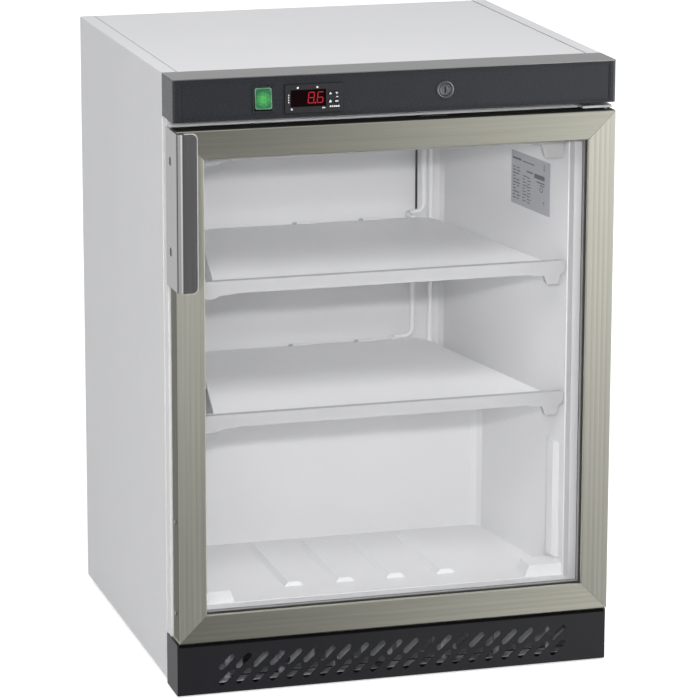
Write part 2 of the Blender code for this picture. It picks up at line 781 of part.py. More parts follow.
def controls():
    face = FASCIA_FACE + 0.0008
    xs = (SWITCH_X - 0.0145, SWITCH_X + 0.0145)
    zs = (SWITCH_Z - 0.0172, SWITCH_Z + 0.0172)
    hole = rectangle((SWITCH_X - 0.0118, SWITCH_X + 0.0118), (SWITCH_Z - 0.0151, SWITCH_Z + 0.0151))
    ends = (face - 0.0020, face - GAP)
    rim = prism("switch_bezel", rectangle(xs, zs), "Y", ends, "black_plastic", more=[hole])
    sleeve = prism(
        "switch_sleeve",
        rectangle((SWITCH_X - 0.0129, SWITCH_X + 0.0129), (SWITCH_Z - 0.0155, SWITCH_Z + 0.0155)),
        "Y",
        (face - 0.0010, face + 0.0100),
        more=[hole],
    )
    combine(rim, sleeve, "UNION")
    arc = []
    for start, end in ((35, -30), (-150, -215)):
        for step in range(5):
            turn = math.radians(start + (end - start) * step / 4)
            arc.append((-ROCKER_RADIUS * math.sin(turn), ROCKER_RADIUS * math.cos(turn)))
    dip = (-0.0068, 0.0)
    arc.append(dip)
    tilt = Matrix.Rotation(math.radians(-7), 2)
    outline = [tuple(Vector((ROCKER_PIVOT_Y, SWITCH_Z)) + tilt @ Vector(point)) for point in arc]
    rocker = prism("switch_rocker", outline, "X", (SWITCH_X - 0.0114, SWITCH_X + 0.0114), "green_lens")
    set_origin(rocker, (SWITCH_X, ROCKER_PIVOT_Y, SWITCH_Z))

    half_x, half_z = 0.0388, 0.0183
    body = box(
        "thermostat_bezel",
        (THERMOSTAT_X - half_x, THERMOSTAT_X + half_x),
        (face - 0.0042, face - GAP),
        (THERMOSTAT_Z - half_z, THERMOSTAT_Z + half_z),
        "black_plastic",
    )
    block = box(
        "thermostat_body",
        (THERMOSTAT_X - 0.0355, THERMOSTAT_X + 0.0355),
        (face - 0.0012, face + 0.0240),
        (THERMOSTAT_Z - 0.0145, THERMOSTAT_Z + 0.0145),
    )
    combine(body, block, "UNION")
    window_xs = (THERMOSTAT_X - 0.0312, THERMOSTAT_X + 0.0162)
    window_zs = (THERMOSTAT_Z - 0.0108, THERMOSTAT_Z + 0.0114)
    combine(body, box("window_pocket", window_xs, (face - 0.01, face - 0.0012), window_zs))
    half_w, half_h = KEY_SIZE[0] / 2, KEY_SIZE[1] / 2
    for column, x in enumerate(KEY_XS):
        for row, z in enumerate(KEY_ZS):
            xs = (x - half_w - 0.0003, x + half_w + 0.0003)
            zs = (z - half_h - 0.0003, z + half_h + 0.0003)
            combine(body, box(f"key_pocket_{column}_{row}", xs, (face - 0.01, face - 0.0012), zs))
    box(
        "display_window",
        (window_xs[0] + GAP, window_xs[1] - GAP),
        (face - 0.0036, face - 0.0012 - GAP),
        (window_zs[0] + GAP, window_zs[1] - GAP),
        "red_window",
    )
    for row, z in zip(("upper", "lower"), KEY_ZS):
        for side, x in zip(("left", "right"), KEY_XS):
            name = f"thermostat_key_{row}_{side}"
            xs = (x - half_w, x + half_w)
            zs = (z - half_h, z + half_h)
            key = box(name, xs, (face - 0.0048, face - 0.0020), zs, "charcoal_plastic")
            set_origin(key, (x, face - 0.0035, z))

    ring_face = FASCIA_FACE - 0.0012
    rim = prism(
        "lock_housing",
        ring((LOCK_X, LOCK_Z), 0.0120, 32),
        "Y",
        (ring_face, FASCIA_FACE + 0.0008 - GAP),
        "stainless",
        more=[ring((LOCK_X, LOCK_Z), 0.0083, 24)],
    )
    barrel = prism(
        "lock_barrel",
        ring((LOCK_X, LOCK_Z), 0.0096, 24),
        "Y",
        (FASCIA_FACE + 0.0002, FASCIA_FACE + 0.0170),
        more=[ring((LOCK_X, LOCK_Z), 0.0083, 24)],
    )
    combine(rim, barrel, "UNION")
    ends = (ring_face + 0.0004, FRONT - 0.0404)
    plug = cylinder("lock_cylinder", 0.0079, "Y", (LOCK_X, LOCK_Z), ends, "stainless", sides=24)
    keyway = box(
        "keyway",
        (LOCK_X - 0.0009, LOCK_X + 0.0009),
        (ring_face - 0.01, ring_face + 0.008),
        (LOCK_Z - 0.0045, LOCK_Z + 0.0045),
    )
    combine(plug, keyway)
    cam_ends = (FRONT - 0.0401, FRONT - 0.0376)
    outline = [
        (LOCK_X + 0.0075, LOCK_Z + 0.0070),
        (LOCK_X - 0.0075, LOCK_Z + 0.0070),
        (LOCK_X - CAM_REACH, LOCK_Z + 0.0050),
        (LOCK_X - CAM_REACH, LOCK_Z - 0.0050),
        (LOCK_X - 0.0075, LOCK_Z - 0.0070),
        (LOCK_X + 0.0075, LOCK_Z - 0.0070),
    ]
    cam = prism("lock_cam", outline, "Y", cam_ends, "galvanised")
    carry("lock_axis", (LOCK_X, FRONT - 0.0401, LOCK_Z), [plug, cam])


def machine_compartment():
    centre = (-0.090, FRONT + 0.397)
    profile = [
        (0.0, 0.030),
        (0.050, 0.030),
        (0.070, 0.045),
        (0.076, 0.070),
        (0.076, 0.110),
        (0.079, 0.112),
        (0.079, 0.118),
        (0.076, 0.120),
        (0.070, 0.150),
        (0.045, 0.172),
        (0.0, 0.178),
    ]
    pot = revolve("compressor", profile, centre, "black_steel", steps=28)
    skid = box("compressor_skid", (-0.190, 0.010), (FRONT + 0.335, FRONT + 0.459), (0.0245, 0.034))
    combine(pot, skid, "UNION")
    for index, (x, y) in enumerate(((-0.175, 0.352), (-0.005, 0.352), (-0.175, 0.442), (-0.005, 0.442))):
        ends = (PANEL_FOOT + 0.0027, 0.030)
        foot = cylinder(f"compressor_foot_{index + 1}", 0.010, "Z", (x, FRONT + y), ends, sides=14)
        combine(pot, foot, "UNION")
    ys = (FRONT + 0.370, FRONT + 0.424)
    box("compressor_terminal_box", (-0.0105, 0.0300), ys, (0.062, 0.125), "black_plastic")
    ys = (FRONT + 0.325, FRONT + 0.470)
    tray = box("drip_tray", (-0.165, -0.015), ys, (0.1785, 0.2000), "white_plastic")
    ys = (FRONT + 0.327, FRONT + 0.468)
    combine(tray, box("drip_tray_hollow", (-0.163, -0.017), ys, (0.1805, 0.22)))
    profile = [
        (0.0, 0.070),
        (0.003, 0.071),
        (0.003, 0.090),
        (0.011, 0.100),
        (0.011, 0.190),
        (0.003, 0.200),
        (0.003, 0.232),
        (0.0, 0.233),
    ]
    revolve("filter_drier", profile, (0.120, FRONT + 0.430), "copper", steps=16)
    floor = PANEL_FOOT + 0.0012 + 0.0012 + GAP
    ys = (REAR - 0.040, REAR - 0.0045)
    inlet = box("mains_inlet", (0.200, 0.245), ys, (floor, 0.0560), "black_plastic")
    combine(inlet, box("mains_inlet_well", (0.2075, 0.2375), (REAR - 0.024, REAR), (0.0320, 0.0500)))


def condenser():
    y = FRONT + 0.4780
    wall = BACK_Y + SHEET + GAP
    path = [(-0.262, wall), (-0.262, y), (0.262, y), (0.262, wall)]
    plate = prism("condenser", folded(path[::-1], 0.0010), "Z", (0.290, 0.790), "black_steel")
    louvres = []
    for row in range(8):
        z = 0.320 + row * 0.060
        for column in range(3):
            x = -0.225 + column * 0.155
            louvres.append(rectangle((x, x + 0.140), (z, z + 0.020)))
    cutter = prism("condenser_louvres", louvres[0], "Y", (y - 0.01, y + 0.01), more=louvres[1:])
    combine(plate, cutter)
    back = y + 0.0036
    runs = [
        (-0.0350, FRONT + 0.4522, 0.095),
        (0.020, back, 0.095),
        (0.247, back, 0.095),
        (0.247, back, 0.760),
    ]
    for row in range(8):
        z = 0.760 - row * 0.060
        start, end = (-0.236, 0.220 if row < 7 else 0.120) if row % 2 else (0.220, -0.236)
        if row:
            runs.append((start, back, z))
        runs.append((end, back, z))
    runs += [(0.120, back, 0.260), (0.120, FRONT + 0.430, 0.2365)]
    tube("condenser_tube", runs, 0.0027, "black_steel", bend=0.016, sides=1)


cabinet_shell()
insulation_and_liner()
front_frame()
base()
plinth()
evaporator()
door()
hinges()
fascia()
controls()
machine_compartment()
condenser()
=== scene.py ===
"""Looks of an undercounter refrigerator with a glass door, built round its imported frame."""

import math

import bmesh
import bpy
from mathutils import Matrix, Vector


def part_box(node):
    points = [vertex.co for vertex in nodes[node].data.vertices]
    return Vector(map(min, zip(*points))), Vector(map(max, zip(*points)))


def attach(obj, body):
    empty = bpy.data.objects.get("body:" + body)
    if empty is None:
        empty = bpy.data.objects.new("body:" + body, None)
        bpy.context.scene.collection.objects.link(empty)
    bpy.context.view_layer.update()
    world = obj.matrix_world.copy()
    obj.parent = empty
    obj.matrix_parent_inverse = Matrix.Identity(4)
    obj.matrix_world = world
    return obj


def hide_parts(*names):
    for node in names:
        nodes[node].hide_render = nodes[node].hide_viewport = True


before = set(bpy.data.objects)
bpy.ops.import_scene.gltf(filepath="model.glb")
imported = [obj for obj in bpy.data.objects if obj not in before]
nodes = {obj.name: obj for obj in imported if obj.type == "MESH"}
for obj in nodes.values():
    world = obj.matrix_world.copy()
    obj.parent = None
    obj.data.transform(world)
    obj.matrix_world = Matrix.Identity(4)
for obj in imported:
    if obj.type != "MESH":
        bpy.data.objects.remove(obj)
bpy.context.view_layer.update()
scene = bpy.context.scene

# --- camera -------------------------------------------------------------------------------------

# A long lens from the front and a little to the left, aimed at AIM and then moved sideways and down.
AIM = Vector((0.0, 0.0455, 0.42))
DISTANCE = 5.312
AZIMUTH = math.radians(-16.29)
ELEVATION = math.radians(13.76)
ROLL = math.radians(0.144)
LENS = 195.69
SIDE_OFFSET = 0.0257
RISE_OFFSET = -0.0356


def make_camera():
    back = Vector(
        (
            math.sin(AZIMUTH) * math.cos(ELEVATION),
            -math.cos(AZIMUTH) * math.cos(ELEVATION),
            math.sin(ELEVATION),
        )
    )
    turn = (-back).to_track_quat("-Z", "Y").to_matrix()
    right, up = turn.col[0], turn.col[1]
    data = bpy.data.cameras.new("camera")
    data.lens = LENS
    data.sensor_width = 36.0
    data.clip_start = 0.05
    data.clip_end = 100.0
    camera = bpy.data.objects.new("camera", data)
    scene.collection.objects.link(camera)
    where = AIM + back * DISTANCE + right * SIDE_OFFSET + up * RISE_OFFSET
    roll = Matrix.Rotation(ROLL, 3, "Z")
    camera.matrix_world = Matrix.Translation(where) @ (turn @ roll).to_4x4()
    scene.camera = camera


make_camera()

# --- light --------------------------------------------------------------------------------------

# The soft sky's strength, from straight below to straight above.
SKY_LOW, SKY_HIGH = 0.30, 0.78

# What a reflection sees of the studio, by direction: the glow of each side and the least that there is.
BEHIND_GLOW = 0.72
LEFT_GLOW = 0.58
RIGHT_GLOW = 1.10
ABOVE_GLOW = 0.55
LEAST_GLOW = 0.13

# The card in front: its plane, its edges in x and z, and its brightness in the middle, to the right and
# to the left.
CARD_Y = -1.60
CARD_LEFT_EDGE, CARD_RIGHT_EDGE = -2.4, 3.2
CARD_FOOT, CARD_TOP = -1.4, 1.6
CARD_DARK, CARD_MIDDLE = 0.17, 0.72
CARD_RIGHT = 1.5
CARD_LEFT = 0.9

# What the camera and the other rays see of the floor's own glow.
FLOOR_GLOW_SEEN, FLOOR_GLOW_CAST = 0.58, 0.08
FLOOR_REACH = 30.0


def ramp_node(tree, value, start, end, low, high, smooth=True):
    """Takes start..end to low..high, and holds the value outside it."""
    node = tree.nodes.new("ShaderNodeMapRange")
    node.interpolation_type = "SMOOTHSTEP" if smooth else "LINEAR"
    for key, number in (("From Min", start), ("From Max", end), ("To Min", low), ("To Max", high)):
        node.inputs[key].default_value = number
    tree.links.new(value, node.inputs["Value"])
    return node.outputs["Result"]


def join(tree, operation, first, second):
    """One sum of two values, each a socket or a number."""
    node = tree.nodes.new("ShaderNodeMath")
    node.operation = operation
    for socket, value in zip(node.inputs, (first, second)):
        if isinstance(value, (int, float)):
            socket.default_value = value
        else:
            tree.links.new(value, socket)
    return node.outputs[0]


def distance_from(tree, centre):
    """How far a point of the surface is from a fixed point."""
    where = tree.nodes.new("ShaderNodeTexCoord")
    node = tree.nodes.new("ShaderNodeVectorMath")
    node.operation = "DISTANCE"
    node.inputs[1].default_value = centre
    tree.links.new(where.outputs["Object"], node.inputs[0])
    return node.outputs["Value"]


def along_axes(tree, space="Object"):
    """The three coordinates of a point of the surface, or of a direction with the space Generated."""
    where = tree.nodes.new("ShaderNodeTexCoord")
    apart = tree.nodes.new("ShaderNodeSeparateXYZ")
    tree.links.new(where.outputs[space], apart.inputs[0])
    return apart.outputs[0], apart.outputs[1], apart.outputs[2]


def blended(tree, share, first, second):
    """The first colour socket where the share is 0, and the second where it is 1."""
    mix = tree.nodes.new("ShaderNodeMix")
    mix.data_type = "RGBA"
    tree.links.new(share, mix.inputs["Factor"])
    for socket, colour in ((mix.inputs[6], first), (mix.inputs[7], second)):
        if isinstance(colour, tuple):
            socket.default_value = (*colour, 1)
        else:
            tree.links.new(colour, socket)
    return mix.outputs[2]


def make_world():
    """White for the camera, a soft sky for plain light, and bright and dark sides for reflections."""
    world = bpy.data.worlds.new("studio")
    scene.world = world
    world.use_nodes = True
    tree = world.node_tree
    tree.nodes.clear()
    out = tree.nodes.new("ShaderNodeOutputWorld")
    sight = tree.nodes.new("ShaderNodeLightPath")
    x, y, z = along_axes(tree, "Generated")
    white = tree.nodes.new("ShaderNodeBackground")
    soft = tree.nodes.new("ShaderNodeBackground")
    soft.inputs["Color"].default_value = (0.985, 0.99, 1.0, 1)
    white.inputs["Color"].default_value = (1, 1, 1, 1)
    sky = ramp_node(tree, z, -1.0, 1.0, SKY_LOW, SKY_HIGH, smooth=False)
    tree.links.new(sky, soft.inputs["Strength"])
    mirror = tree.nodes.new("ShaderNodeBackground")
    mirror.inputs["Color"].default_value = (1, 1, 1, 1)
    behind = ramp_node(tree, y, 0.70, 0.93, 0.0, BEHIND_GLOW)
    left = ramp_node(tree, x, -0.30, -0.75, 0.0, LEFT_GLOW)
    left = join(tree, "MULTIPLY", left, ramp_node(tree, y, 0.50, 0.15, 0.0, 1.0))
    right = ramp_node(tree, x, 0.35, 0.85, 0.0, RIGHT_GLOW)
    above = ramp_node(tree, z, 0.25, 0.80, 0.0, ABOVE_GLOW)
    ahead = join(tree, "ADD", join(tree, "ADD", left, right), join(tree, "ADD", above, LEAST_GLOW))
    tree.links.new(join(tree, "MAXIMUM", behind, ahead), mirror.inputs["Strength"])
    gloss = tree.nodes.new("ShaderNodeMixShader")
    tree.links.new(sight.outputs["Is Glossy Ray"], gloss.inputs[0])
    tree.links.new(soft.outputs[0], gloss.inputs[1])
    tree.links.new(mirror.outputs[0], gloss.inputs[2])
    seen = tree.nodes.new("ShaderNodeMixShader")
    tree.links.new(sight.outputs["Is Camera Ray"], seen.inputs[0])
    tree.links.new(gloss.outputs[0], seen.inputs[1])
    tree.links.new(white.outputs[0], seen.inputs[2])
    tree.links.new(seen.outputs[0], out.inputs["Surface"])


def reflection_card():
    """An upright card, seen only in reflections: dark in the middle, bright to the right and the left."""
    mesh = bpy.data.meshes.new("reflection_card")
    corners = (
        (CARD_LEFT_EDGE, CARD_FOOT),
        (CARD_RIGHT_EDGE, CARD_FOOT),
        (CARD_RIGHT_EDGE, CARD_TOP),
        (CARD_LEFT_EDGE, CARD_TOP),
    )
    mesh.from_pydata([(x, CARD_Y, z) for x, z in corners], [], [(0, 1, 2, 3)])
    card = bpy.data.objects.new("reflection_card", mesh)
    scene.collection.objects.link(card)
    material = bpy.data.materials.new("reflection_card")
    material.use_nodes = True
    tree = material.node_tree
    tree.nodes.clear()
    out = tree.nodes.new("ShaderNodeOutputMaterial")
    light = tree.nodes.new("ShaderNodeEmission")
    light.inputs["Color"].default_value = (1, 1, 1, 1)
    x, _, z = along_axes(tree)
    near = ramp_node(tree, x, 0.05, 0.85, CARD_DARK, CARD_MIDDLE)
    far = ramp_node(tree, x, 0.90, 1.30, 0.0, CARD_RIGHT)
    left = ramp_node(tree, x, -0.65, -1.15, 0.0, CARD_LEFT)
    left = join(tree, "MULTIPLY", left, ramp_node(tree, x, -2.20, -1.50, 0.25, 1.0))
    height = ramp_node(tree, z, -0.45, 0.50, 0.85, 1.05, smooth=False)
    fall = ramp_node(tree, z, -0.40, 0.45, 0.05, 1.55, smooth=False)
    middle = join(tree, "MULTIPLY", near, height)
    sides = join(tree, "MULTIPLY", join(tree, "ADD", far, left), fall)
    tree.links.new(join(tree, "ADD", middle, sides), light.inputs["Strength"])
    tree.links.new(light.outputs[0], out.inputs["Surface"])
    mesh.materials.append(material)
    card.visible_camera = False
    card.visible_diffuse = False
    card.visible_shadow = False
    card.visible_transmission = False


def area_light(name, where, target, size, power):
    """A rectangular lamp that neither the camera nor a reflection sees."""
    data = bpy.data.lights.new(name, "AREA")
    data.shape = "RECTANGLE"
    data.size, data.size_y = size
    data.energy = power
    lamp = bpy.data.objects.new(name, data)
    scene.collection.objects.link(lamp)
    lamp.location = where
    lamp.rotation_mode = "QUATERNION"
    lamp.rotation_quaternion = (Vector(target) - Vector(where)).to_track_quat("-Z", "Y")
    lamp.visible_glossy = False
    lamp.visible_camera = False


scene.view_settings.view_transform = "Standard"
make_world()
reflection_card()

# Each lamp's place, the point that it faces, its size and its power.
area_light("key_light", (-0.90, -3.25, 1.48), (0.0, 0.0, 0.45), (0.10, 0.10), 38.0)
area_light("front_fill", (-1.10, -3.60, 1.38), (0.0, 0.0, 0.40), (1.6, 0.7), 27.0)
area_light("high_fill", (-0.30, -2.40, 2.90), (0.0, -0.1, 0.40), (1.6, 1.2), 60.0)


def make_floor():
    mesh = bpy.data.meshes.new("studio_floor")
    corners = ((-1, -1), (1, -1), (1, 1), (-1, 1))
    mesh.from_pydata([(FLOOR_REACH * i, FLOOR_REACH * j, 0) for i, j in corners], [], [(0, 1, 2, 3)])
    floor = bpy.data.objects.new("studio_floor", mesh)
    scene.collection.objects.link(floor)
    material = bpy.data.materials.new("studio_floor")
    material.use_nodes = True
    shader = material.node_tree.nodes["Principled BSDF"]
    shader.inputs["Base Color"].default_value = (0.80, 0.80, 0.80, 1)
    shader.inputs["Roughness"].default_value = 0.9
    shader.inputs["Specular IOR Level"].default_value = 0.0
    shader.inputs["Emission Color"].default_value = (1, 1, 1, 1)
    tree = material.node_tree
    sight = tree.nodes.new("ShaderNodeLightPath")
    seen = sight.outputs["Is Camera Ray"]
    glow = ramp_node(tree, seen, 0.0, 1.0, FLOOR_GLOW_CAST, FLOOR_GLOW_SEEN, smooth=False)
    tree.links.new(glow, shader.inputs["Emission Strength"])
    mesh.materials.append(material)
    floor.visible_glossy = False


make_floor()

# --- materials ----------------------------------------------------------------------------------


def new_material(name):
    material = bpy.data.materials.new(name)
    material.use_nodes = True
    tree = material.node_tree
    return material, tree, tree.nodes["Principled BSDF"]


def coordinates(tree, scale=(1.0, 1.0, 1.0)):
    """Object coordinates in metres, stretched by the scale."""
    where = tree.nodes.new("ShaderNodeTexCoord")
    mapping = tree.nodes.new("ShaderNodeMapping")
    mapping.inputs["Scale"].default_value = scale
    tree.links.new(where.outputs["Object"], mapping.inputs["Vector"])
    return mapping.outputs["Vector"]


def noise(tree, vector, scale, detail=3.0, rough=0.55):
    node = tree.nodes.new("ShaderNodeTexNoise")
    node.inputs["Scale"].default_value = scale
    node.inputs["Detail"].default_value = detail
    node.inputs["Roughness"].default_value = rough
    tree.links.new(vector, node.inputs["Vector"])
    return node.outputs["Fac"]


def spread(tree, value, low, high, start=0.25, end=0.75):
    """Takes the usual span of a noise to the span low..high."""
    return ramp_node(tree, value, start, end, low, high, smooth=False)


def tint(tree, value, dark, light):
    """Colour between dark and light, by a noise."""
    ramp = tree.nodes.new("ShaderNodeValToRGB")
    ramp.color_ramp.elements[0].position = 0.3
    ramp.color_ramp.elements[0].color = (*dark, 1)
    ramp.color_ramp.elements[1].position = 0.7
    ramp.color_ramp.elements[1].color = (*light, 1)
    tree.links.new(value, ramp.inputs["Fac"])
    return ramp.outputs["Color"]


def bump(tree, shader, height, strength, distance):
    node = tree.nodes.new("ShaderNodeBump")
    node.inputs["Strength"].default_value = strength
    node.inputs["Distance"].default_value = distance
    tree.links.new(height, node.inputs["Height"])
    tree.links.new(node.outputs["Normal"], shader.inputs["Normal"])


def shade(colour, amount):
    """The colour made lighter by this share, or darker where it is negative."""
    return tuple(max(0.0, channel * (1 + amount)) for channel in colour)


def surface(name, colour, rough, metallic=0.0, vary=0.03, cloud=6.0, grain=900.0, depth=0.00005, spec=0.5):
    """A material with cloudy colour variation, uneven roughness and a fine surface grain."""
    material, tree, shader = new_material(name)
    shader.inputs["Metallic"].default_value = metallic
    shader.inputs["Specular IOR Level"].default_value = spec
    wide = coordinates(tree)
    cloudy = noise(tree, wide, cloud, 4.0)
    tree.links.new(tint(tree, cloudy, shade(colour, -vary), shade(colour, vary)), shader.inputs["Base Color"])
    fine = noise(tree, coordinates(tree), grain, 2.0)
    tree.links.new(spread(tree, fine, rough - 0.04, rough + 0.04), shader.inputs["Roughness"])
    bump(tree, shader, fine, 0.3, depth)
    return material


def brushed(name, colour, rough, along, vary=0.10, pull=0.0):
    """Brushed metal: long fine lines along one axis, with reflections pulled out across the lines."""
    material, tree, shader = new_material(name)
    shader.inputs["Metallic"].default_value = 1.0
    if pull:
        shader.inputs["Anisotropic"].default_value = pull
        across = tree.nodes.new("ShaderNodeTangent")
        across.direction_type = "RADIAL"
        across.axis = "Z" if along == "Z" else "X"
        tree.links.new(across.outputs[0], shader.inputs["Tangent"])
    squeeze = [1.0, 1.0, 1.0]
    squeeze["XYZ".index(along)] = 0.004
    lines = noise(tree, coordinates(tree, squeeze), 1400.0, 3.0, 0.7)
    squeeze["XYZ".index(along)] = 0.02
    bands = noise(tree, coordinates(tree, squeeze), 160.0, 2.0, 0.6)
    mixed = join(tree, "ADD", join(tree, "MULTIPLY", lines, 0.5), spread(tree, bands, 0.0, 0.5, 0.0, 1.0))
    tree.links.new(tint(tree, mixed, shade(colour, -vary), shade(colour, vary)), shader.inputs["Base Color"])
    tree.links.new(spread(tree, mixed, rough - 0.06, rough + 0.06), shader.inputs["Roughness"])
    bump(tree, shader, lines, 0.25, 0.00003)
    return material


def clear_glass(name):
    """Thin clear panes: light passes straight on, with a mirror share that grows towards grazing sight."""
    material, tree, shader = new_material(name)
    tree.nodes.remove(shader)
    out = tree.nodes["Material Output"]
    through = tree.nodes.new("ShaderNodeBsdfTransparent")
    through.inputs["Color"].default_value = (0.992, 0.992, 0.994, 1)
    gloss = tree.nodes.new("ShaderNodeBsdfGlossy")
    gloss.inputs["Color"].default_value = (1, 1, 1, 1)
    smear = noise(tree, coordinates(tree), 9.0, 4.0)
    tree.links.new(spread(tree, smear, 0.0, 0.03), gloss.inputs["Roughness"])
    edge = tree.nodes.new("ShaderNodeLayerWeight")
    edge.inputs["Blend"].default_value = 0.5
    steep = join(tree, "POWER", edge.outputs["Facing"], 4.0)
    mix = tree.nodes.new("ShaderNodeMixShader")
    tree.links.new(ramp_node(tree, steep, 0.0, 1.0, 0.012, 0.75, smooth=False), mix.inputs[0])
    tree.links.new(through.outputs[0], mix.inputs[1])
    tree.links.new(gloss.outputs[0], mix.inputs[2])
    tree.links.new(mix.outputs[0], out.inputs["Surface"])
    return material


def glowing(name, colour, strength):
    """A lit colour, slightly uneven."""
    material, tree, shader = new_material(name)
    shader.inputs["Base Color"].default_value = (*shade(colour, -0.6), 1)
    shader.inputs["Emission Strength"].default_value = strength
    glow = noise(tree, coordinates(tree), 900.0, 2.0)
    tree.links.new(spread(tree, glow, 0.30, 0.40), shader.inputs["Roughness"])
    bump(tree, shader, glow, 0.2, 0.00002)
    tree.links.new(tint(tree, glow, shade(colour, -0.15), colour), shader.inputs["Emission Color"])
    return material


white_steel = surface("white_steel", (0.625, 0.625, 0.635), 0.42, vary=0.012, grain=1100.0, depth=0.00004)
white_liner = surface("white_liner", (0.79, 0.79, 0.79), 0.40, vary=0.015, grain=700.0, depth=0.00006)
frame_white = surface("frame_white", (0.64, 0.64, 0.65), 0.45, vary=0.02, grain=800.0)
coil_white = surface(
    "coil_white", (0.90, 0.90, 0.905), 0.30, vary=0.02, cloud=14.0, grain=420.0, depth=0.0001
)
trim_white = surface("trim_white", (0.45, 0.45, 0.45), 0.38, vary=0.015, grain=900.0)
foam = surface("foam", (0.66, 0.64, 0.56), 0.95, vary=0.08, grain=300.0, depth=0.0006)
galvanised = surface("galvanised", (0.50, 0.51, 0.52), 0.42, metallic=0.6, vary=0.14, cloud=60.0, grain=500.0)
black_steel = surface("black_steel", (0.022, 0.022, 0.024), 0.42, vary=0.10, grain=900.0)
plinth_black = surface("plinth_black", (0.0075, 0.0075, 0.010), 0.36, vary=0.10, grain=1000.0)
charcoal = surface("charcoal", (0.014, 0.0155, 0.019), 0.26, vary=0.05, grain=1300.0, depth=0.00003)
black_plastic = surface("black_plastic", (0.014, 0.014, 0.016), 0.34, vary=0.08, grain=1200.0)
door_level = brushed("door_level", (0.62, 0.61, 0.525), 0.36, "X", pull=0.7)
door_upright = brushed("door_upright", (0.67, 0.66, 0.580), 0.48, "Z", pull=0.85)
strip_metal = brushed("strip_metal", (0.385, 0.39, 0.385), 0.40, "X", vary=0.14)
handle_steel = brushed("handle_steel", (0.50, 0.50, 0.505), 0.22, "Z", vary=0.04)
steel_small = surface("steel_small", (0.50, 0.50, 0.50), 0.30, metallic=1.0, vary=0.06, grain=1800.0)
lock_metal = surface("lock_metal", (0.22, 0.22, 0.24), 0.28, metallic=0.9, vary=0.08, grain=1800.0)
copper = surface("copper", (0.66, 0.34, 0.22), 0.32, metallic=1.0, vary=0.12, cloud=40.0)
glass = clear_glass("glass")
green_lens = surface("green_lens", (0.015, 0.30, 0.08), 0.22, vary=0.2, cloud=180.0, grain=600.0)
red_window = surface(
    "red_window",
    (0.0030, 0.0004, 0.0006),
    0.10,
    vary=0.15,
    cloud=40.0,
    grain=1500.0,
    depth=0.00001,
    spec=0.12,
)
seal_grey = surface("seal_grey", (0.42, 0.42, 0.42), 0.65, vary=0.05, grain=700.0)
label_film = surface("label_film", (0.42, 0.43, 0.45), 0.45, vary=0.04, grain=900.0)
tray_white = surface("tray_white", (0.70, 0.70, 0.68), 0.5, vary=0.03)
# A pale grey-green for the switch's rim: a painted highlight along the lens's edge.
rim_painted_highlight = surface("rim_painted_highlight", (0.10, 0.20, 0.14), 0.12, vary=0.35, cloud=90.0, grain=700.0)
# A dead black for painted shade: over the door's top under the fascia, and in the groove inside the fascia's
# rim.
painted_shade_black = surface("painted_shade_black", (0.010, 0.010, 0.009), 0.55, vary=0.10, grain=900.0)
# A dead black that paints the shadow line under the door along the plinth's top edge.
plinth_shadow_black = surface("plinth_shadow_black", (0.003, 0.003, 0.003), 0.9, vary=0.1, grain=900.0, spec=0.05)
# A darker, strongly mottled copy of the galvanised finish: painted shade on the base pan's folds behind the
# plinth.
pan_painted_shade = surface("pan_painted_shade", (0.22, 0.22, 0.235), 0.5, metallic=0.2, vary=0.9, cloud=46.0, grain=420.0)
print_white = surface("print_white", (0.52, 0.52, 0.54), 0.5, vary=0.03, grain=1500.0)
print_grey = surface("print_grey", (0.13, 0.13, 0.14), 0.6, vary=0.1, grain=900.0)
# A grey, part-metal finish for the handle's hem, unlike the handle's steel: a painted highlight along the
# grip's edge.
hem_painted_highlight = surface("hem_painted_highlight", (0.40, 0.40, 0.40), 0.32, metallic=0.25, vary=0.04, grain=1500.0)
screw_dark = surface("screw_dark", (0.010, 0.010, 0.011), 0.4, vary=0.1, grain=900.0)
lock_chrome = surface("lock_chrome", (0.20, 0.20, 0.215), 0.16, metallic=1.0, vary=0.05, grain=1500.0)
seam_grey = surface("seam_grey", (0.20, 0.20, 0.205), 0.6, vary=0.06, grain=900.0)
notch_grey = surface("notch_grey", (0.46, 0.46, 0.465), 0.5, vary=0.06, grain=900.0)
edge_olive = brushed("edge_olive", (0.21, 0.205, 0.165), 0.42, "Z", vary=0.08)
digit_glow = glowing("digit_glow", (0.32, 0.005, 0.016), 1.0)


def lens_material():
    """Clear green plastic, lit from behind its middle."""
    material, tree, shader = new_material("lens_green")
    low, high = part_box("switch_rocker")
    shader.inputs["Coat Weight"].default_value = 0.6
    shader.inputs["Coat Roughness"].default_value = 0.05
    shader.inputs["Emission Color"].default_value = (0.12, 0.60, 0.10, 1)
    centre = distance_from(tree, ((low.x + high.x) / 2, low.y, (low.z + high.z) / 2))
    cells = noise(tree, coordinates(tree), 420.0, 3.0, 0.6)
    glow = ramp_node(tree, centre, 0.002, 0.0125, 0.50, 0.004)
    lively = join(tree, "MULTIPLY", glow, spread(tree, cells, 0.55, 1.35))
    tree.links.new(lively, shader.inputs["Emission Strength"])
    tree.links.new(spread(tree, cells, 0.13, 0.19), shader.inputs["Roughness"])
    green = tint(tree, cells, (0.006, 0.055, 0.022), (0.025, 0.14, 0.055))
    tree.links.new(green, shader.inputs["Base Color"])
    bump(tree, shader, cells, 0.4, 0.0002)
    return material


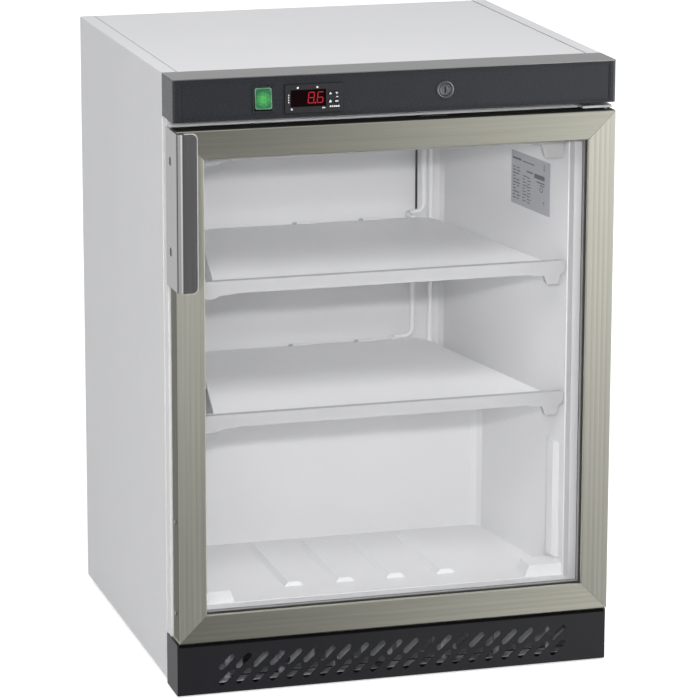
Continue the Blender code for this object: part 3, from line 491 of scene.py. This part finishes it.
def spacer_material():
    """Bright metal between two dark lines of sealant, one along each pane."""
    material, tree, shader = new_material("spacer_bands")
    low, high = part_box("glazing_spacer")
    y = along_axes(tree)[1]
    front = ramp_node(tree, y, low.y + 0.0018, low.y + 0.0030, 0.0, 1.0)
    rear = ramp_node(tree, y, high.y - 0.0018, high.y - 0.0030, 0.0, 1.0)
    grain = noise(tree, coordinates(tree), 900.0, 2.0)
    sealant = tint(tree, grain, (0.030, 0.031, 0.028), (0.045, 0.046, 0.042))
    metal = tint(tree, grain, (0.25, 0.25, 0.245), (0.31, 0.31, 0.30))
    colour = blended(tree, join(tree, "MULTIPLY", front, rear), sealant, metal)
    tree.links.new(colour, shader.inputs["Base Color"])
    tree.links.new(spread(tree, grain, 0.42, 0.56), shader.inputs["Roughness"])
    bump(tree, shader, grain, 0.2, 0.00003)
    return material


# The painted recess shade round each screw of the handle: full out to the inner radius, faded out by the
# outer.
RECESS_SHADE_INSIDE, RECESS_SHADE_OUTSIDE = 0.0056, 0.0066
SCREW_SLOT_INSIDE, SCREW_SLOT_OUTSIDE = 0.0006, 0.0012


def add_recess_shade(material):
    """Painted shade of the countersunk recesses round the handle's screws: dark rings on its side, each
    crossed by a slot line left in the handle's colour.
    """
    tree = material.node_tree
    base = tree.nodes["Principled BSDF"].inputs["Base Color"]
    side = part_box("handle")[0].x
    recess_shades = []
    for name in ("handle_screw_upper", "handle_screw_lower"):
        low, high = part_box(name)
        z = (low.z + high.z) / 2
        reach = distance_from(tree, (side, (low.y + high.y) / 2, z))
        away = join(tree, "ABSOLUTE", join(tree, "SUBTRACT", along_axes(tree)[2], z), 0.0)
        round_part = ramp_node(tree, reach, RECESS_SHADE_INSIDE, RECESS_SHADE_OUTSIDE, 1.0, 0.0)
        slot = ramp_node(tree, away, SCREW_SLOT_INSIDE, SCREW_SLOT_OUTSIDE, 0.0, 1.0)
        recess_shades.append(join(tree, "MULTIPLY", round_part, slot))
    both = join(tree, "MAXIMUM", *recess_shades)
    tree.links.new(blended(tree, both, base.links[0].from_socket, (0.012, 0.012, 0.012)), base)


lens_green = lens_material()
spacer_bands = spacer_material()
# Painted recess shade round the handle's screws.
add_recess_shade(handle_steel)

FINISH = {
    white_steel: ("side_panel_left", "side_panel_right", "top_panel"),
    white_liner: ("liner",),
    frame_white: ("front_frame",),
    coil_white: (
        "evaporator_top",
        "evaporator_upper",
        "evaporator_lower",
        "evaporator_pipe_upper",
        "evaporator_pipe_lower",
        "evaporator_return_pipe",
    ),
    trim_white: ("shelf_trim_top", "shelf_trim_upper", "shelf_trim_lower"),
    foam: ("insulation",),
    galvanised: (
        "back_panel",
        "machine_compartment_lining",
        "base_pan",
        "hinge_bracket_upper",
        "hinge_bracket_lower",
        "lock_cam",
    ),
    black_steel: ("compressor", "condenser", "condenser_tube"),
    plinth_black: ("plinth_grille",),
    charcoal: (
        "fascia_housing",
        "thermostat_key_upper_left",
        "thermostat_key_upper_right",
        "thermostat_key_lower_left",
        "thermostat_key_lower_right",
    ),
    black_plastic: (
        "switch_bezel",
        "thermostat_bezel",
        "thermostat_probe",
        "compressor_terminal_box",
        "mains_inlet",
        "foot_front_left",
        "foot_front_right",
        "foot_rear_left",
        "foot_rear_right",
    ),
    door_level: ("door_rail_top", "door_rail_bottom"),
    door_upright: ("door_stile_left", "door_stile_right"),
    strip_metal: ("fascia_top_strip",),
    handle_steel: ("handle",),
    steel_small: ("door_plug_upper", "door_plug_lower"),
    lock_metal: ("lock_housing", "lock_cylinder"),
    copper: ("filter_drier",),
    glass: ("glass_outer", "glass_inner"),
    green_lens: ("switch_rocker",),
    screw_dark: ("handle_screw_upper", "handle_screw_lower"),
    spacer_bands: ("glazing_spacer",),
    red_window: ("display_window",),
    seal_grey: ("door_gasket",),
    label_film: ("rating_label",),
    tray_white: ("drip_tray",),
}
for material, names in FINISH.items():
    for name in names:
        nodes[name].data.materials.clear()
        nodes[name].data.materials.append(material)

# --- pieces -------------------------------------------------------------------------------------

# A mark or a strip starts this far off the face that it lies on, so that no two faces coincide.
OFF = 0.00002

# How far the display's figures, the panel's marks and the keys' marks stand out.
FIGURE_PROUD = 0.0003
MARK_PROUD = 0.00018
KEY_MARK_PROUD = 0.00016


def finish_piece(name, shape, material, body, replaces=(), bevel=0.0, steps=2, smooth=False):
    """Makes a piece from a bmesh, rounds its edges, and lets it ride on a body."""
    bmesh.ops.recalc_face_normals(shape, faces=shape.faces)
    mesh = bpy.data.meshes.new(name)
    shape.to_mesh(mesh)
    shape.free()
    mesh.materials.append(material)
    for face in mesh.polygons:
        face.use_smooth = smooth
    piece = bpy.data.objects.new(name, mesh)
    scene.collection.objects.link(piece)
    if bevel:
        soft = piece.modifiers.new("soft_edges", "BEVEL")
        soft.width = bevel
        soft.segments = steps
        soft.limit_method = "ANGLE"
        soft.angle_limit = math.radians(35)
    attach(piece, body)
    if replaces:
        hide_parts(*replaces)


def bridge(shape, first, second):
    """A band of faces between two closed loops of as many points."""
    count = len(first)
    for index in range(count):
        after = (index + 1) % count
        shape.faces.new((first[index], first[after], second[after], second[index]))


def add_slab(shape, outline, low, high, place):
    """A flat outline in (u, v), drawn out from low to high. place turns (u, v, w) into a point."""
    near, far = ([shape.verts.new(place(u, v, w)) for u, v in outline] for w in (low, high))
    shape.faces.new(near)
    shape.faces.new(far)
    bridge(shape, near, far)


def add_ring(shape, outer, inner, low, high, place):
    """A closed band between two outlines of as many points, drawn out from low to high."""
    loops = [
        [shape.verts.new(place(u, v, w)) for u, v in line]
        for line, w in ((outer, low), (outer, high), (inner, high), (inner, low))
    ]
    for first, second in zip(loops, loops[1:] + loops[:1]):
        bridge(shape, first, second)


def rectangle(u0, u1, v0, v1):
    return [(u0, v0), (u1, v0), (u1, v1), (u0, v1)]


def oblong(centre, half_u, half_v, corner=0.0, steps=4):
    """A rectangle about a centre, with round corners where a corner radius is given."""
    if not corner:
        return rectangle(centre[0] - half_u, centre[0] + half_u, centre[1] - half_v, centre[1] + half_v)
    points = []
    for i, j, start in ((1, -1, -90), (1, 1, 0), (-1, 1, 90), (-1, -1, 180)):
        for step in range(steps + 1):
            turn = math.radians(start + 90 * step / steps)
            u = centre[0] + i * (half_u - corner) + corner * math.cos(turn)
            v = centre[1] + j * (half_v - corner) + corner * math.sin(turn)
            points.append((u, v))
    return points


def disc(centre, radius, steps=20):
    turns = [2 * math.pi * index / steps for index in range(steps)]
    return [(centre[0] + radius * math.cos(turn), centre[1] + radius * math.sin(turn)) for turn in turns]


def in_front(u, v, w):
    """An outline in x and z, drawn out along y."""
    return (u, w, v)


def flat(u, v, w):
    """An outline in x and y, drawn out along z."""
    return (u, v, w)


def endwise(u, v, w):
    """An outline in y and z, drawn out along x."""
    return (w, u, v)


def middle_of(node):
    """The middle of a node's box, seen from the front: (x, z)."""
    low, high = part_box(node)
    return (low.x + high.x) / 2, (low.z + high.z) / 2


# The controller's display: two figures of seven strokes, with a point between them.

WINDOW_LOW, WINDOW_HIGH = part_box("display_window")
FIGURE_HIGH = 0.0138
FIGURE_WIDE = 0.0074
FIGURE_FOOT = 0.0042
FIGURE_STARTS = {"eight": 0.0228, "six": 0.0350}
POINT_AT = 0.0325
HALF_STROKE = 0.00058
LEAN = 0.10


def stroke_outline(start, end):
    """A stroke of a figure, pointed at both ends and just short of its neighbours."""
    a, b = Vector(start), Vector(end)
    along = (b - a).normalized() * HALF_STROKE
    side = Vector((-along.y, along.x))
    a += along * 1.15
    b -= along * 1.15
    points = (a - along * 0.8, a + side, b + side, b + along * 0.8, b - side, a - side)
    return [tuple(point) for point in points]


def display():
    shape = bmesh.new()
    face = WINDOW_LOW.y
    foot = WINDOW_LOW.z + FIGURE_FOOT
    corners = {
        "top_left": (0.0, FIGURE_HIGH),
        "top_right": (FIGURE_WIDE, FIGURE_HIGH),
        "mid_left": (0.0, FIGURE_HIGH / 2),
        "mid_right": (FIGURE_WIDE, FIGURE_HIGH / 2),
        "low_left": (0.0, 0.0),
        "low_right": (FIGURE_WIDE, 0.0),
    }
    strokes = [
        ("top_left", "top_right"),
        ("mid_left", "mid_right"),
        ("low_left", "low_right"),
        ("mid_left", "top_left"),
        ("mid_right", "top_right"),
        ("low_left", "mid_left"),
        ("low_right", "mid_right"),
    ]
    for figure, start in FIGURE_STARTS.items():
        for first, second in strokes:
            if figure == "six" and (first, second) == ("mid_right", "top_right"):
                continue
            outline = stroke_outline(corners[first], corners[second])
            leaning = [(WINDOW_LOW.x + start + u + LEAN * v, foot + v) for u, v in outline]
            add_slab(shape, leaning, face - FIGURE_PROUD, face - OFF, in_front)
    point = disc((WINDOW_LOW.x + POINT_AT, foot), 0.0011, 12)
    add_slab(shape, point, face - FIGURE_PROUD, face - OFF, in_front)
    finish_piece("display_figures", shape, digit_glow, "cabinet")


def panel_marks():
    """Lamps and plain marks round the display: no lettering."""
    shape = bmesh.new()
    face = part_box("thermostat_bezel")[0].y
    left, right, low, high = WINDOW_LOW.x, WINDOW_HIGH.x, WINDOW_LOW.z, WINDOW_HIGH.z
    outlines = [disc((left + 0.0092, high + 0.0030), 0.00135), disc((left + 0.0352, high + 0.0030), 0.00135)]
    outlines.append(disc((left + 0.0010, low - 0.0030), 0.0013))
    for step in range(4):
        outlines.append(oblong((left - 0.0030, low + 0.0060 + 0.0031 * step), 0.0006, 0.0010, 0.0004, 2))
    outlines.append(oblong((left + 0.0452, low - 0.0028), 0.0009, 0.0005, 0.0003, 2))
    for step in range(5):
        outlines.append(oblong((right + 0.0062 + 0.0027 * step, low - 0.0013), 0.0010, 0.0011, 0.0004, 2))
    outlines.append(oblong((right + 0.0152, (low + high) / 2 + 0.0002), 0.0013, 0.0006, 0.0003, 2))
    for outline in outlines:
        add_slab(shape, outline, face - MARK_PROUD, face - OFF, in_front)
    centre = (left + 0.0428, low - 0.0026)
    add_ring(shape, disc(centre, 0.0012), disc(centre, 0.0006), face - MARK_PROUD, face - OFF, in_front)
    finish_piece("controller_marks", shape, print_white, "cabinet")


def key_marks():
    """One plain mark on each key, from its middle: up, down, a drop and a bar."""
    marks = {
        "upper_left": [(-0.0019, -0.0011), (0.0019, -0.0011), (0.0, 0.0017)],
        "upper_right": [(0.0019, 0.0013), (-0.0019, 0.0013), (0.0, -0.0015)],
        "lower_left": [
            (-0.0017, -0.0015),
            (0.0017, -0.0015),
            (0.0013, 0.0004),
            (0.0, 0.0021),
            (-0.0013, 0.0004),
        ],
        "lower_right": oblong((0.0, 0.0), 0.0021, 0.0008, 0.0005, 3),
    }
    for name, mark in marks.items():
        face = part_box("thermostat_key_" + name)[0].y
        x, z = middle_of("thermostat_key_" + name)
        shape = bmesh.new()
        add_slab(shape, [(x + u, z + v) for u, v in mark], face - KEY_MARK_PROUD, face - OFF, in_front)
        finish_piece("key_mark_" + name, shape, print_white, "thermostat_key_" + name)


display()
panel_marks()
key_marks()

# The power switch: a clear green lens with a shallow dip, in a raised rim whose pale grey-green colour is a
# painted highlight. It tilts about its pivot, (y, z).

SWITCH_PIVOT = (-0.2600, 0.8000)
SWITCH_TILT = -7
LENS_DEPTH = 0.0071
LENS_DISH = 0.0012
LENS_HALF = 0.0118
LENS_CORNER = 0.0026

# Loops from the lens's edge of the dip outwards, and round its rim: half a width, half a height and a lift.
LENS_EDGE = ((0.0098, 0.0126, 0.0), (0.0109, 0.0137, -0.0006), (0.0113, 0.0140, -0.0018))
LENS_RIM = (
    (0.0113, 0.0140, -0.0014),
    (0.0112, 0.0139, -0.0002),
    (0.0107, 0.0134, 0.0005),
    (0.0102, 0.0129, 0.0004),
    (0.0098, 0.0125, -0.0004),
)


def switch_lens():
    x = middle_of("switch_rocker")[0]
    pivot = Vector(SWITCH_PIVOT)
    tilt = Matrix.Rotation(math.radians(SWITCH_TILT), 2)

    def loop(shape, half_u, half_v, corner, lift=0.0, back=None):
        """An oblong on the dished front, raised by lift, or at a flat depth behind the pivot."""
        points = []
        for u, v in oblong((0, 0), half_u, half_v, corner, 5):
            front = -LENS_DEPTH - LENS_DISH * (v / LENS_HALF) ** 2
            y, z = pivot + tilt @ Vector((front - lift if back is None else back, v))
            points.append(shape.verts.new((x + u, y, z)))
        return points

    shape = bmesh.new()
    loops = [
        loop(shape, 0.0060 * k, 0.0078 * k, 0.0020 * k, 0.0002 * (1.5 - k)) for k in (0.05, 0.5, 1.0, 1.3)
    ]
    for half_u, half_v, lift in LENS_EDGE:
        loops.append(loop(shape, half_u, half_v, LENS_CORNER, lift))
    loops.append(loop(shape, 0.0113, 0.0140, LENS_CORNER, back=0.0050))
    for first, second in zip(loops, loops[1:]):
        bridge(shape, first, second)
    shape.faces.new(loops[0])
    shape.faces.new(loops[-1])
    finish_piece(
        "switch_lens",
        shape,
        lens_green,
        "power_switch",
        replaces=("switch_rocker",),
        smooth=True,
    )
    shape = bmesh.new()
    loops = [loop(shape, half_u, half_v, LENS_CORNER, lift) for half_u, half_v, lift in LENS_RIM]
    for first, second in zip(loops, loops[1:] + loops[:1]):
        bridge(shape, first, second)
    finish_piece("switch_lens_rim", shape, rim_painted_highlight, "power_switch", smooth=True)


switch_lens()

# The door's top: a thin black slab over it, painted shade from the fascia above, with an opening that the
# lock's cam enters.

CAM_OPENING = (0.0372, 0.0742, -0.2472, -0.2398)


def paint_door_top_shade():
    low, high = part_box("door_rail_top")
    outer = rectangle(low.x + 0.0012, high.x - 0.0010, low.y + 0.0012, high.y - 0.0003)
    top = high.z + 0.00003
    shape = bmesh.new()
    add_ring(shape, outer, rectangle(*CAM_OPENING), top, top + 0.0007, flat)
    finish_piece("door_top_painted_shade", shape, painted_shade_black, "door", bevel=0.0002)


paint_door_top_shade()

# Behind the plinth's slots: its lower fold, and two folds of the base pan with upright ribs between them.
# The pan's folds and ribs are a darker, strongly mottled copy of the galvanised finish: painted shade behind
# the plinth.


def plinth_folds():
    low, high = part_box("plinth_grille")
    pan_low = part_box("base_pan")[0]
    half = high.x - 0.006
    z = low.z + 0.0006
    top = pan_low.z + 0.0012
    section = [
        (low.y + 0.0022, z),
        (low.y + 0.0022, z + 0.0016),
        (pan_low.y - 0.0040, z + 0.0016),
        (pan_low.y - 0.0016, top),
        (pan_low.y - 0.0006, top),
        (pan_low.y - 0.0024, z),
    ]
    shape = bmesh.new()
    add_slab(shape, section, -half, half, endwise)
    finish_piece("plinth_return", shape, plinth_black, "cabinet", bevel=0.0004)
    lower_fold, upper_fold = pan_low.z + 0.0035, pan_low.z + 0.0420
    fold_half, rib_pitch = 0.252, 0.0755
    shape = bmesh.new()
    for z in (lower_fold, upper_fold):
        lip = oblong((low.y + 0.0180, z), 0.0100, 0.0009, 0.0008, 3)
        add_slab(shape, lip, -fold_half, fold_half, endwise)
    for step in range(-3, 4):
        rib = oblong((rib_pitch * step, low.y + 0.0230), 0.0042, 0.0020, 0.0012, 3)
        add_slab(shape, rib, lower_fold, upper_fold, flat)
    finish_piece("pan_front_shelf", shape, pan_painted_shade, "cabinet")


plinth_folds()

# The rating label: plain bars, a frame and a ring, as shares of its length and height.

LABEL_HALF = 0.0585
LABEL_PRINT = (0.00025, 0.00034)
LABEL_BARS = [
    (0.04, 0.26, 0.115, 0.155),
    (0.29, 0.60, 0.135, 0.155),
    (0.60, 0.95, 0.29, 0.375),
    (0.66, 0.90, 0.42, 0.445),
    (0.40, 0.56, 0.295, 0.325),
    (0.74, 0.86, 0.47, 0.49),
    (0.83, 0.93, 0.77, 0.80),
    (0.85, 0.91, 0.82, 0.84),
]


def label_marks():
    low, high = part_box("rating_label")
    lean = math.atan2(high.x - low.x, high.y - low.y)
    centre = Vector(((low.x + high.x) / 2, (low.y + high.y) / 2))
    back = Vector((-math.sin(lean), math.cos(lean)))
    inwards = Vector((-math.cos(lean), -math.sin(lean)))

    def placed(u, v, w):
        spot = centre + back * (LABEL_HALF - 2 * LABEL_HALF * u) + inwards * w
        return (spot.x, spot.y, high.z - (high.z - low.z) * v)

    bars = list(LABEL_BARS)
    for row in range(11):
        v = 0.29 + 0.058 * row
        bars.append((0.05, 0.11 + 0.02 * (row % 3), v, v + 0.022))
        if row % 4 != 3:
            bars.append((0.15, 0.21 + 0.025 * (row % 2), v, v + 0.022))
        if row > 1:
            bars.append((0.30, 0.36 + 0.03 * (row % 3), v, v + 0.018))
            bars.append((0.42, 0.49 + 0.02 * (row % 2), v + 0.01, v + 0.028))
    shape = bmesh.new()
    for bar in bars:
        add_slab(shape, rectangle(*bar), *LABEL_PRINT, placed)
    add_ring(
        shape, rectangle(0.84, 0.93, 0.07, 0.19), rectangle(0.857, 0.913, 0.09, 0.17), *LABEL_PRINT, placed
    )
    add_ring(shape, disc((0.78, 0.56), 0.045, 16), disc((0.78, 0.56), 0.030, 16), *LABEL_PRINT, placed)
    finish_piece("label_print", shape, print_grey, "cabinet")


label_marks()

# The handle: a round hem along the free edge of its grip, in its own grey, part-metal finish that paints a
# light line along the edge.

HEM_RADIUS = 0.0011
HEM_CORNER = 0.0066
HEM_START = 0.0090
HEM_STEPS = 6


def bead(name, points, radius, material, body):
    """A round bead along a row of points, as a mesh."""
    curve = bpy.data.curves.new(name, "CURVE")
    curve.dimensions = "3D"
    curve.bevel_depth = radius
    curve.bevel_resolution = 2
    curve.use_fill_caps = True
    spline = curve.splines.new("POLY")
    spline.points.add(len(points) - 1)
    for point, where in zip(spline.points, points):
        point.co = (*where, 1.0)
    sketch = bpy.data.objects.new(name + "_sketch", curve)
    scene.collection.objects.link(sketch)
    drawn = bpy.data.meshes.new_from_object(sketch.evaluated_get(bpy.context.evaluated_depsgraph_get()))
    bpy.data.objects.remove(sketch, do_unlink=True)
    bpy.data.curves.remove(curve)
    shape = bmesh.new()
    shape.from_mesh(drawn)
    bpy.data.meshes.remove(drawn)
    finish_piece(name, shape, material, body, smooth=True)


def handle_hem():
    low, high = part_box("handle")
    y = low.y + HEM_RADIUS
    right, top, foot = high.x + 0.0002, high.z + 0.0002, low.z - 0.0002
    points = [(low.x + HEM_START, y, top)]
    for centre_z, start in ((top - HEM_CORNER, 90), (foot + HEM_CORNER, 0)):
        for step in range(HEM_STEPS + 1):
            turn = math.radians(start - 90 * step / HEM_STEPS)
            x = right - HEM_CORNER + HEM_CORNER * math.cos(turn)
            points.append((x, y, centre_z + HEM_CORNER * math.sin(turn)))
    points.append((low.x + HEM_START, y, foot))
    bead("handle_hem", points, HEM_RADIUS, hem_painted_highlight, "door")


handle_hem()

# The lock: a rounded ring on the fascia, and a stepped face with a guide for the key on the cylinder.


def turned(name, profile, face, body):
    """A closed profile of (radius, depth behind the face), turned round the lock's axis."""
    x, z = middle_of("lock_housing")
    shape = bmesh.new()
    loops = [
        [shape.verts.new((u, face + depth, v)) for u, v in disc((x, z), radius, 40)]
        for radius, depth in profile
    ]
    for first, second in zip(loops, loops[1:] + loops[:1]):
        bridge(shape, first, second)
    finish_piece(name, shape, lock_chrome, body, smooth=True)


def lock_details():
    housing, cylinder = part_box("lock_housing")[0].y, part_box("lock_cylinder")[0].y
    ring = [
        (0.0119, 0.0004),
        (0.0117, -0.0006),
        (0.0108, -0.0013),
        (0.0096, -0.0013),
        (0.0088, -0.0007),
        (0.0085, 0.0004),
    ]
    turned("lock_ring", ring, housing, "cabinet")
    step = [(0.0078, 0.0002), (0.0076, -0.0004), (0.0066, -0.0006), (0.0058, -0.0001), (0.0056, 0.0002)]
    turned("lock_face_step", step, cylinder, "lock")
    guide = [(0.0038, 0.0002), (0.0037, -0.0004), (0.0031, -0.0004), (0.0030, 0.0002)]
    turned("lock_key_guide", guide, cylinder, "lock")


lock_details()

# The door's free edge: a dark strip below the handle.


def door_edge():
    low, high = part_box("door_stile_left")
    foot = low.z + 0.0040
    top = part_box("handle")[0].z - 0.0015
    centre = ((low.y + high.y) / 2 - 0.0010, (foot + top) / 2)
    shape = bmesh.new()
    outline = oblong(centre, 0.0135, (top - foot) / 2, 0.0015, 3)
    add_slab(shape, outline, low.x - 0.0004, low.x - 0.00003, endwise)
    finish_piece("door_edge_strip", shape, edge_olive, "door", bevel=0.0001)


door_edge()

# Shelves: the seam behind each trim, and two clips with their notches along each rear edge.

CLIP_XS = (-0.030, 0.067)


def shelf_details():
    seams, clips, notches = bmesh.new(), bmesh.new(), bmesh.new()
    for level in ("upper", "lower"):
        trim_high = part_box("shelf_trim_" + level)[1]
        plate_low, plate_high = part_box("evaporator_" + level)
        top = plate_high.z
        half = plate_high.x - 0.006
        seam = rectangle(-half, half, trim_high.y + 0.0001, plate_low.y + 0.0006)
        add_slab(seams, seam, top - 0.0012, top + 0.0003, flat)
        for x in CLIP_XS:
            y = plate_high.y - 0.0014
            clip = oblong((x + 0.016, y), 0.013, 0.0012, 0.0008, 3)
            add_slab(clips, clip, top - 0.0006, top + 0.0020, flat)
            notch = oblong((x, y), 0.0032, 0.0016, 0.0012, 3)
            add_slab(notches, notch, top - 0.0006, top + 0.0026, flat)
    finish_piece("shelf_seams", seams, seam_grey, "cabinet")
    finish_piece("shelf_clips", clips, coil_white, "cabinet", bevel=0.0003)
    finish_piece("shelf_notches", notches, notch_grey, "cabinet", bevel=0.0004)


shelf_details()

# The fascia: a rounded rim round its flat field, and inside the rim a thin dark ring, painted shade standing
# in for a groove.


def fascia_rim():
    low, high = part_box("fascia_housing")
    face = low.y
    centre = middle_of("fascia_housing")
    half_x, half_z = (high.x - low.x) / 2 - 0.0034, (high.z - low.z) / 2 - 0.0004
    shape = bmesh.new()
    outer = oblong(centre, half_x, half_z, 0.0016)
    inner = oblong(centre, half_x - 0.0050, half_z - 0.0022, 0.0012)
    add_ring(shape, outer, inner, face - 0.0008, face + 0.0002, in_front)
    finish_piece("fascia_rim", shape, charcoal, "cabinet", bevel=0.0006, steps=3)
    # A thin black ring just inside the rim: painted groove shade.
    shape = bmesh.new()
    outer = oblong(centre, half_x - 0.0051, half_z - 0.0023, 0.0012)
    inner = oblong(centre, half_x - 0.0062, half_z - 0.0030, 0.0010)
    add_ring(shape, outer, inner, face - 0.00025, face + 0.0002, in_front)
    finish_piece("fascia_groove_shade", shape, painted_shade_black, "cabinet")


fascia_rim()

# The plinth: a thin black strip along its top edge, under the door, a painted shadow line between the door
# and the plinth.


def paint_plinth_shadow():
    low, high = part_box("plinth_grille")
    outline = oblong((0.0, high.z - 0.0020), high.x - 0.0030, 0.0018, 0.0008, 3)
    shape = bmesh.new()
    add_slab(shape, outline, low.y - 0.0010, low.y - OFF, in_front)
    finish_piece("plinth_painted_shadow", shape, plinth_shadow_black, "cabinet", bevel=0.0003)


paint_plinth_shadow()

# The top: sealant in the joints between the top panel and the flanges of the side panels.


def top_seams():
    flange = abs(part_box("side_panel_left")[1].x)
    low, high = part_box("top_panel")
    shape = bmesh.new()
    for side in (-1, 1):
        start, end = sorted((side * (flange - 0.0012), side * (high.x + 0.0008)))
        outline = rectangle(start, end, low.y + 0.001, high.y - 0.002)
        add_slab(shape, outline, high.z + OFF, high.z + 0.00038, flat)
    finish_piece("top_panel_seams", shape, seam_grey, "cabinet")


top_seams()

# The right wall of the lowest compartment: an upright rib with sloping sides.

RIB_Y = -0.170


def wall_at(y):
    """How far out the right wall's inner face is at this depth, from the label that lies on it."""
    low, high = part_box("rating_label")
    return high.x - (high.x - low.x) * (y - low.y) / (high.y - low.y)


def wall_rib():
    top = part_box("shelf_trim_lower")[0].z - 0.043
    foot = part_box("liner")[0].z + 0.022
    section = [
        (-0.0190, -0.001),
        (-0.0190, 0.0),
        (-0.0080, 0.0034),
        (0.0080, 0.0034),
        (0.0190, 0.0),
        (0.0190, -0.001),
    ]
    shape = bmesh.new()
    add_slab(shape, section, foot, top, lambda u, v, w: (wall_at(RIB_Y + u) - v, RIB_Y + u, w))
    finish_piece("wall_rib_right", shape, white_liner, "cabinet", bevel=0.0012, steps=3)


wall_rib()
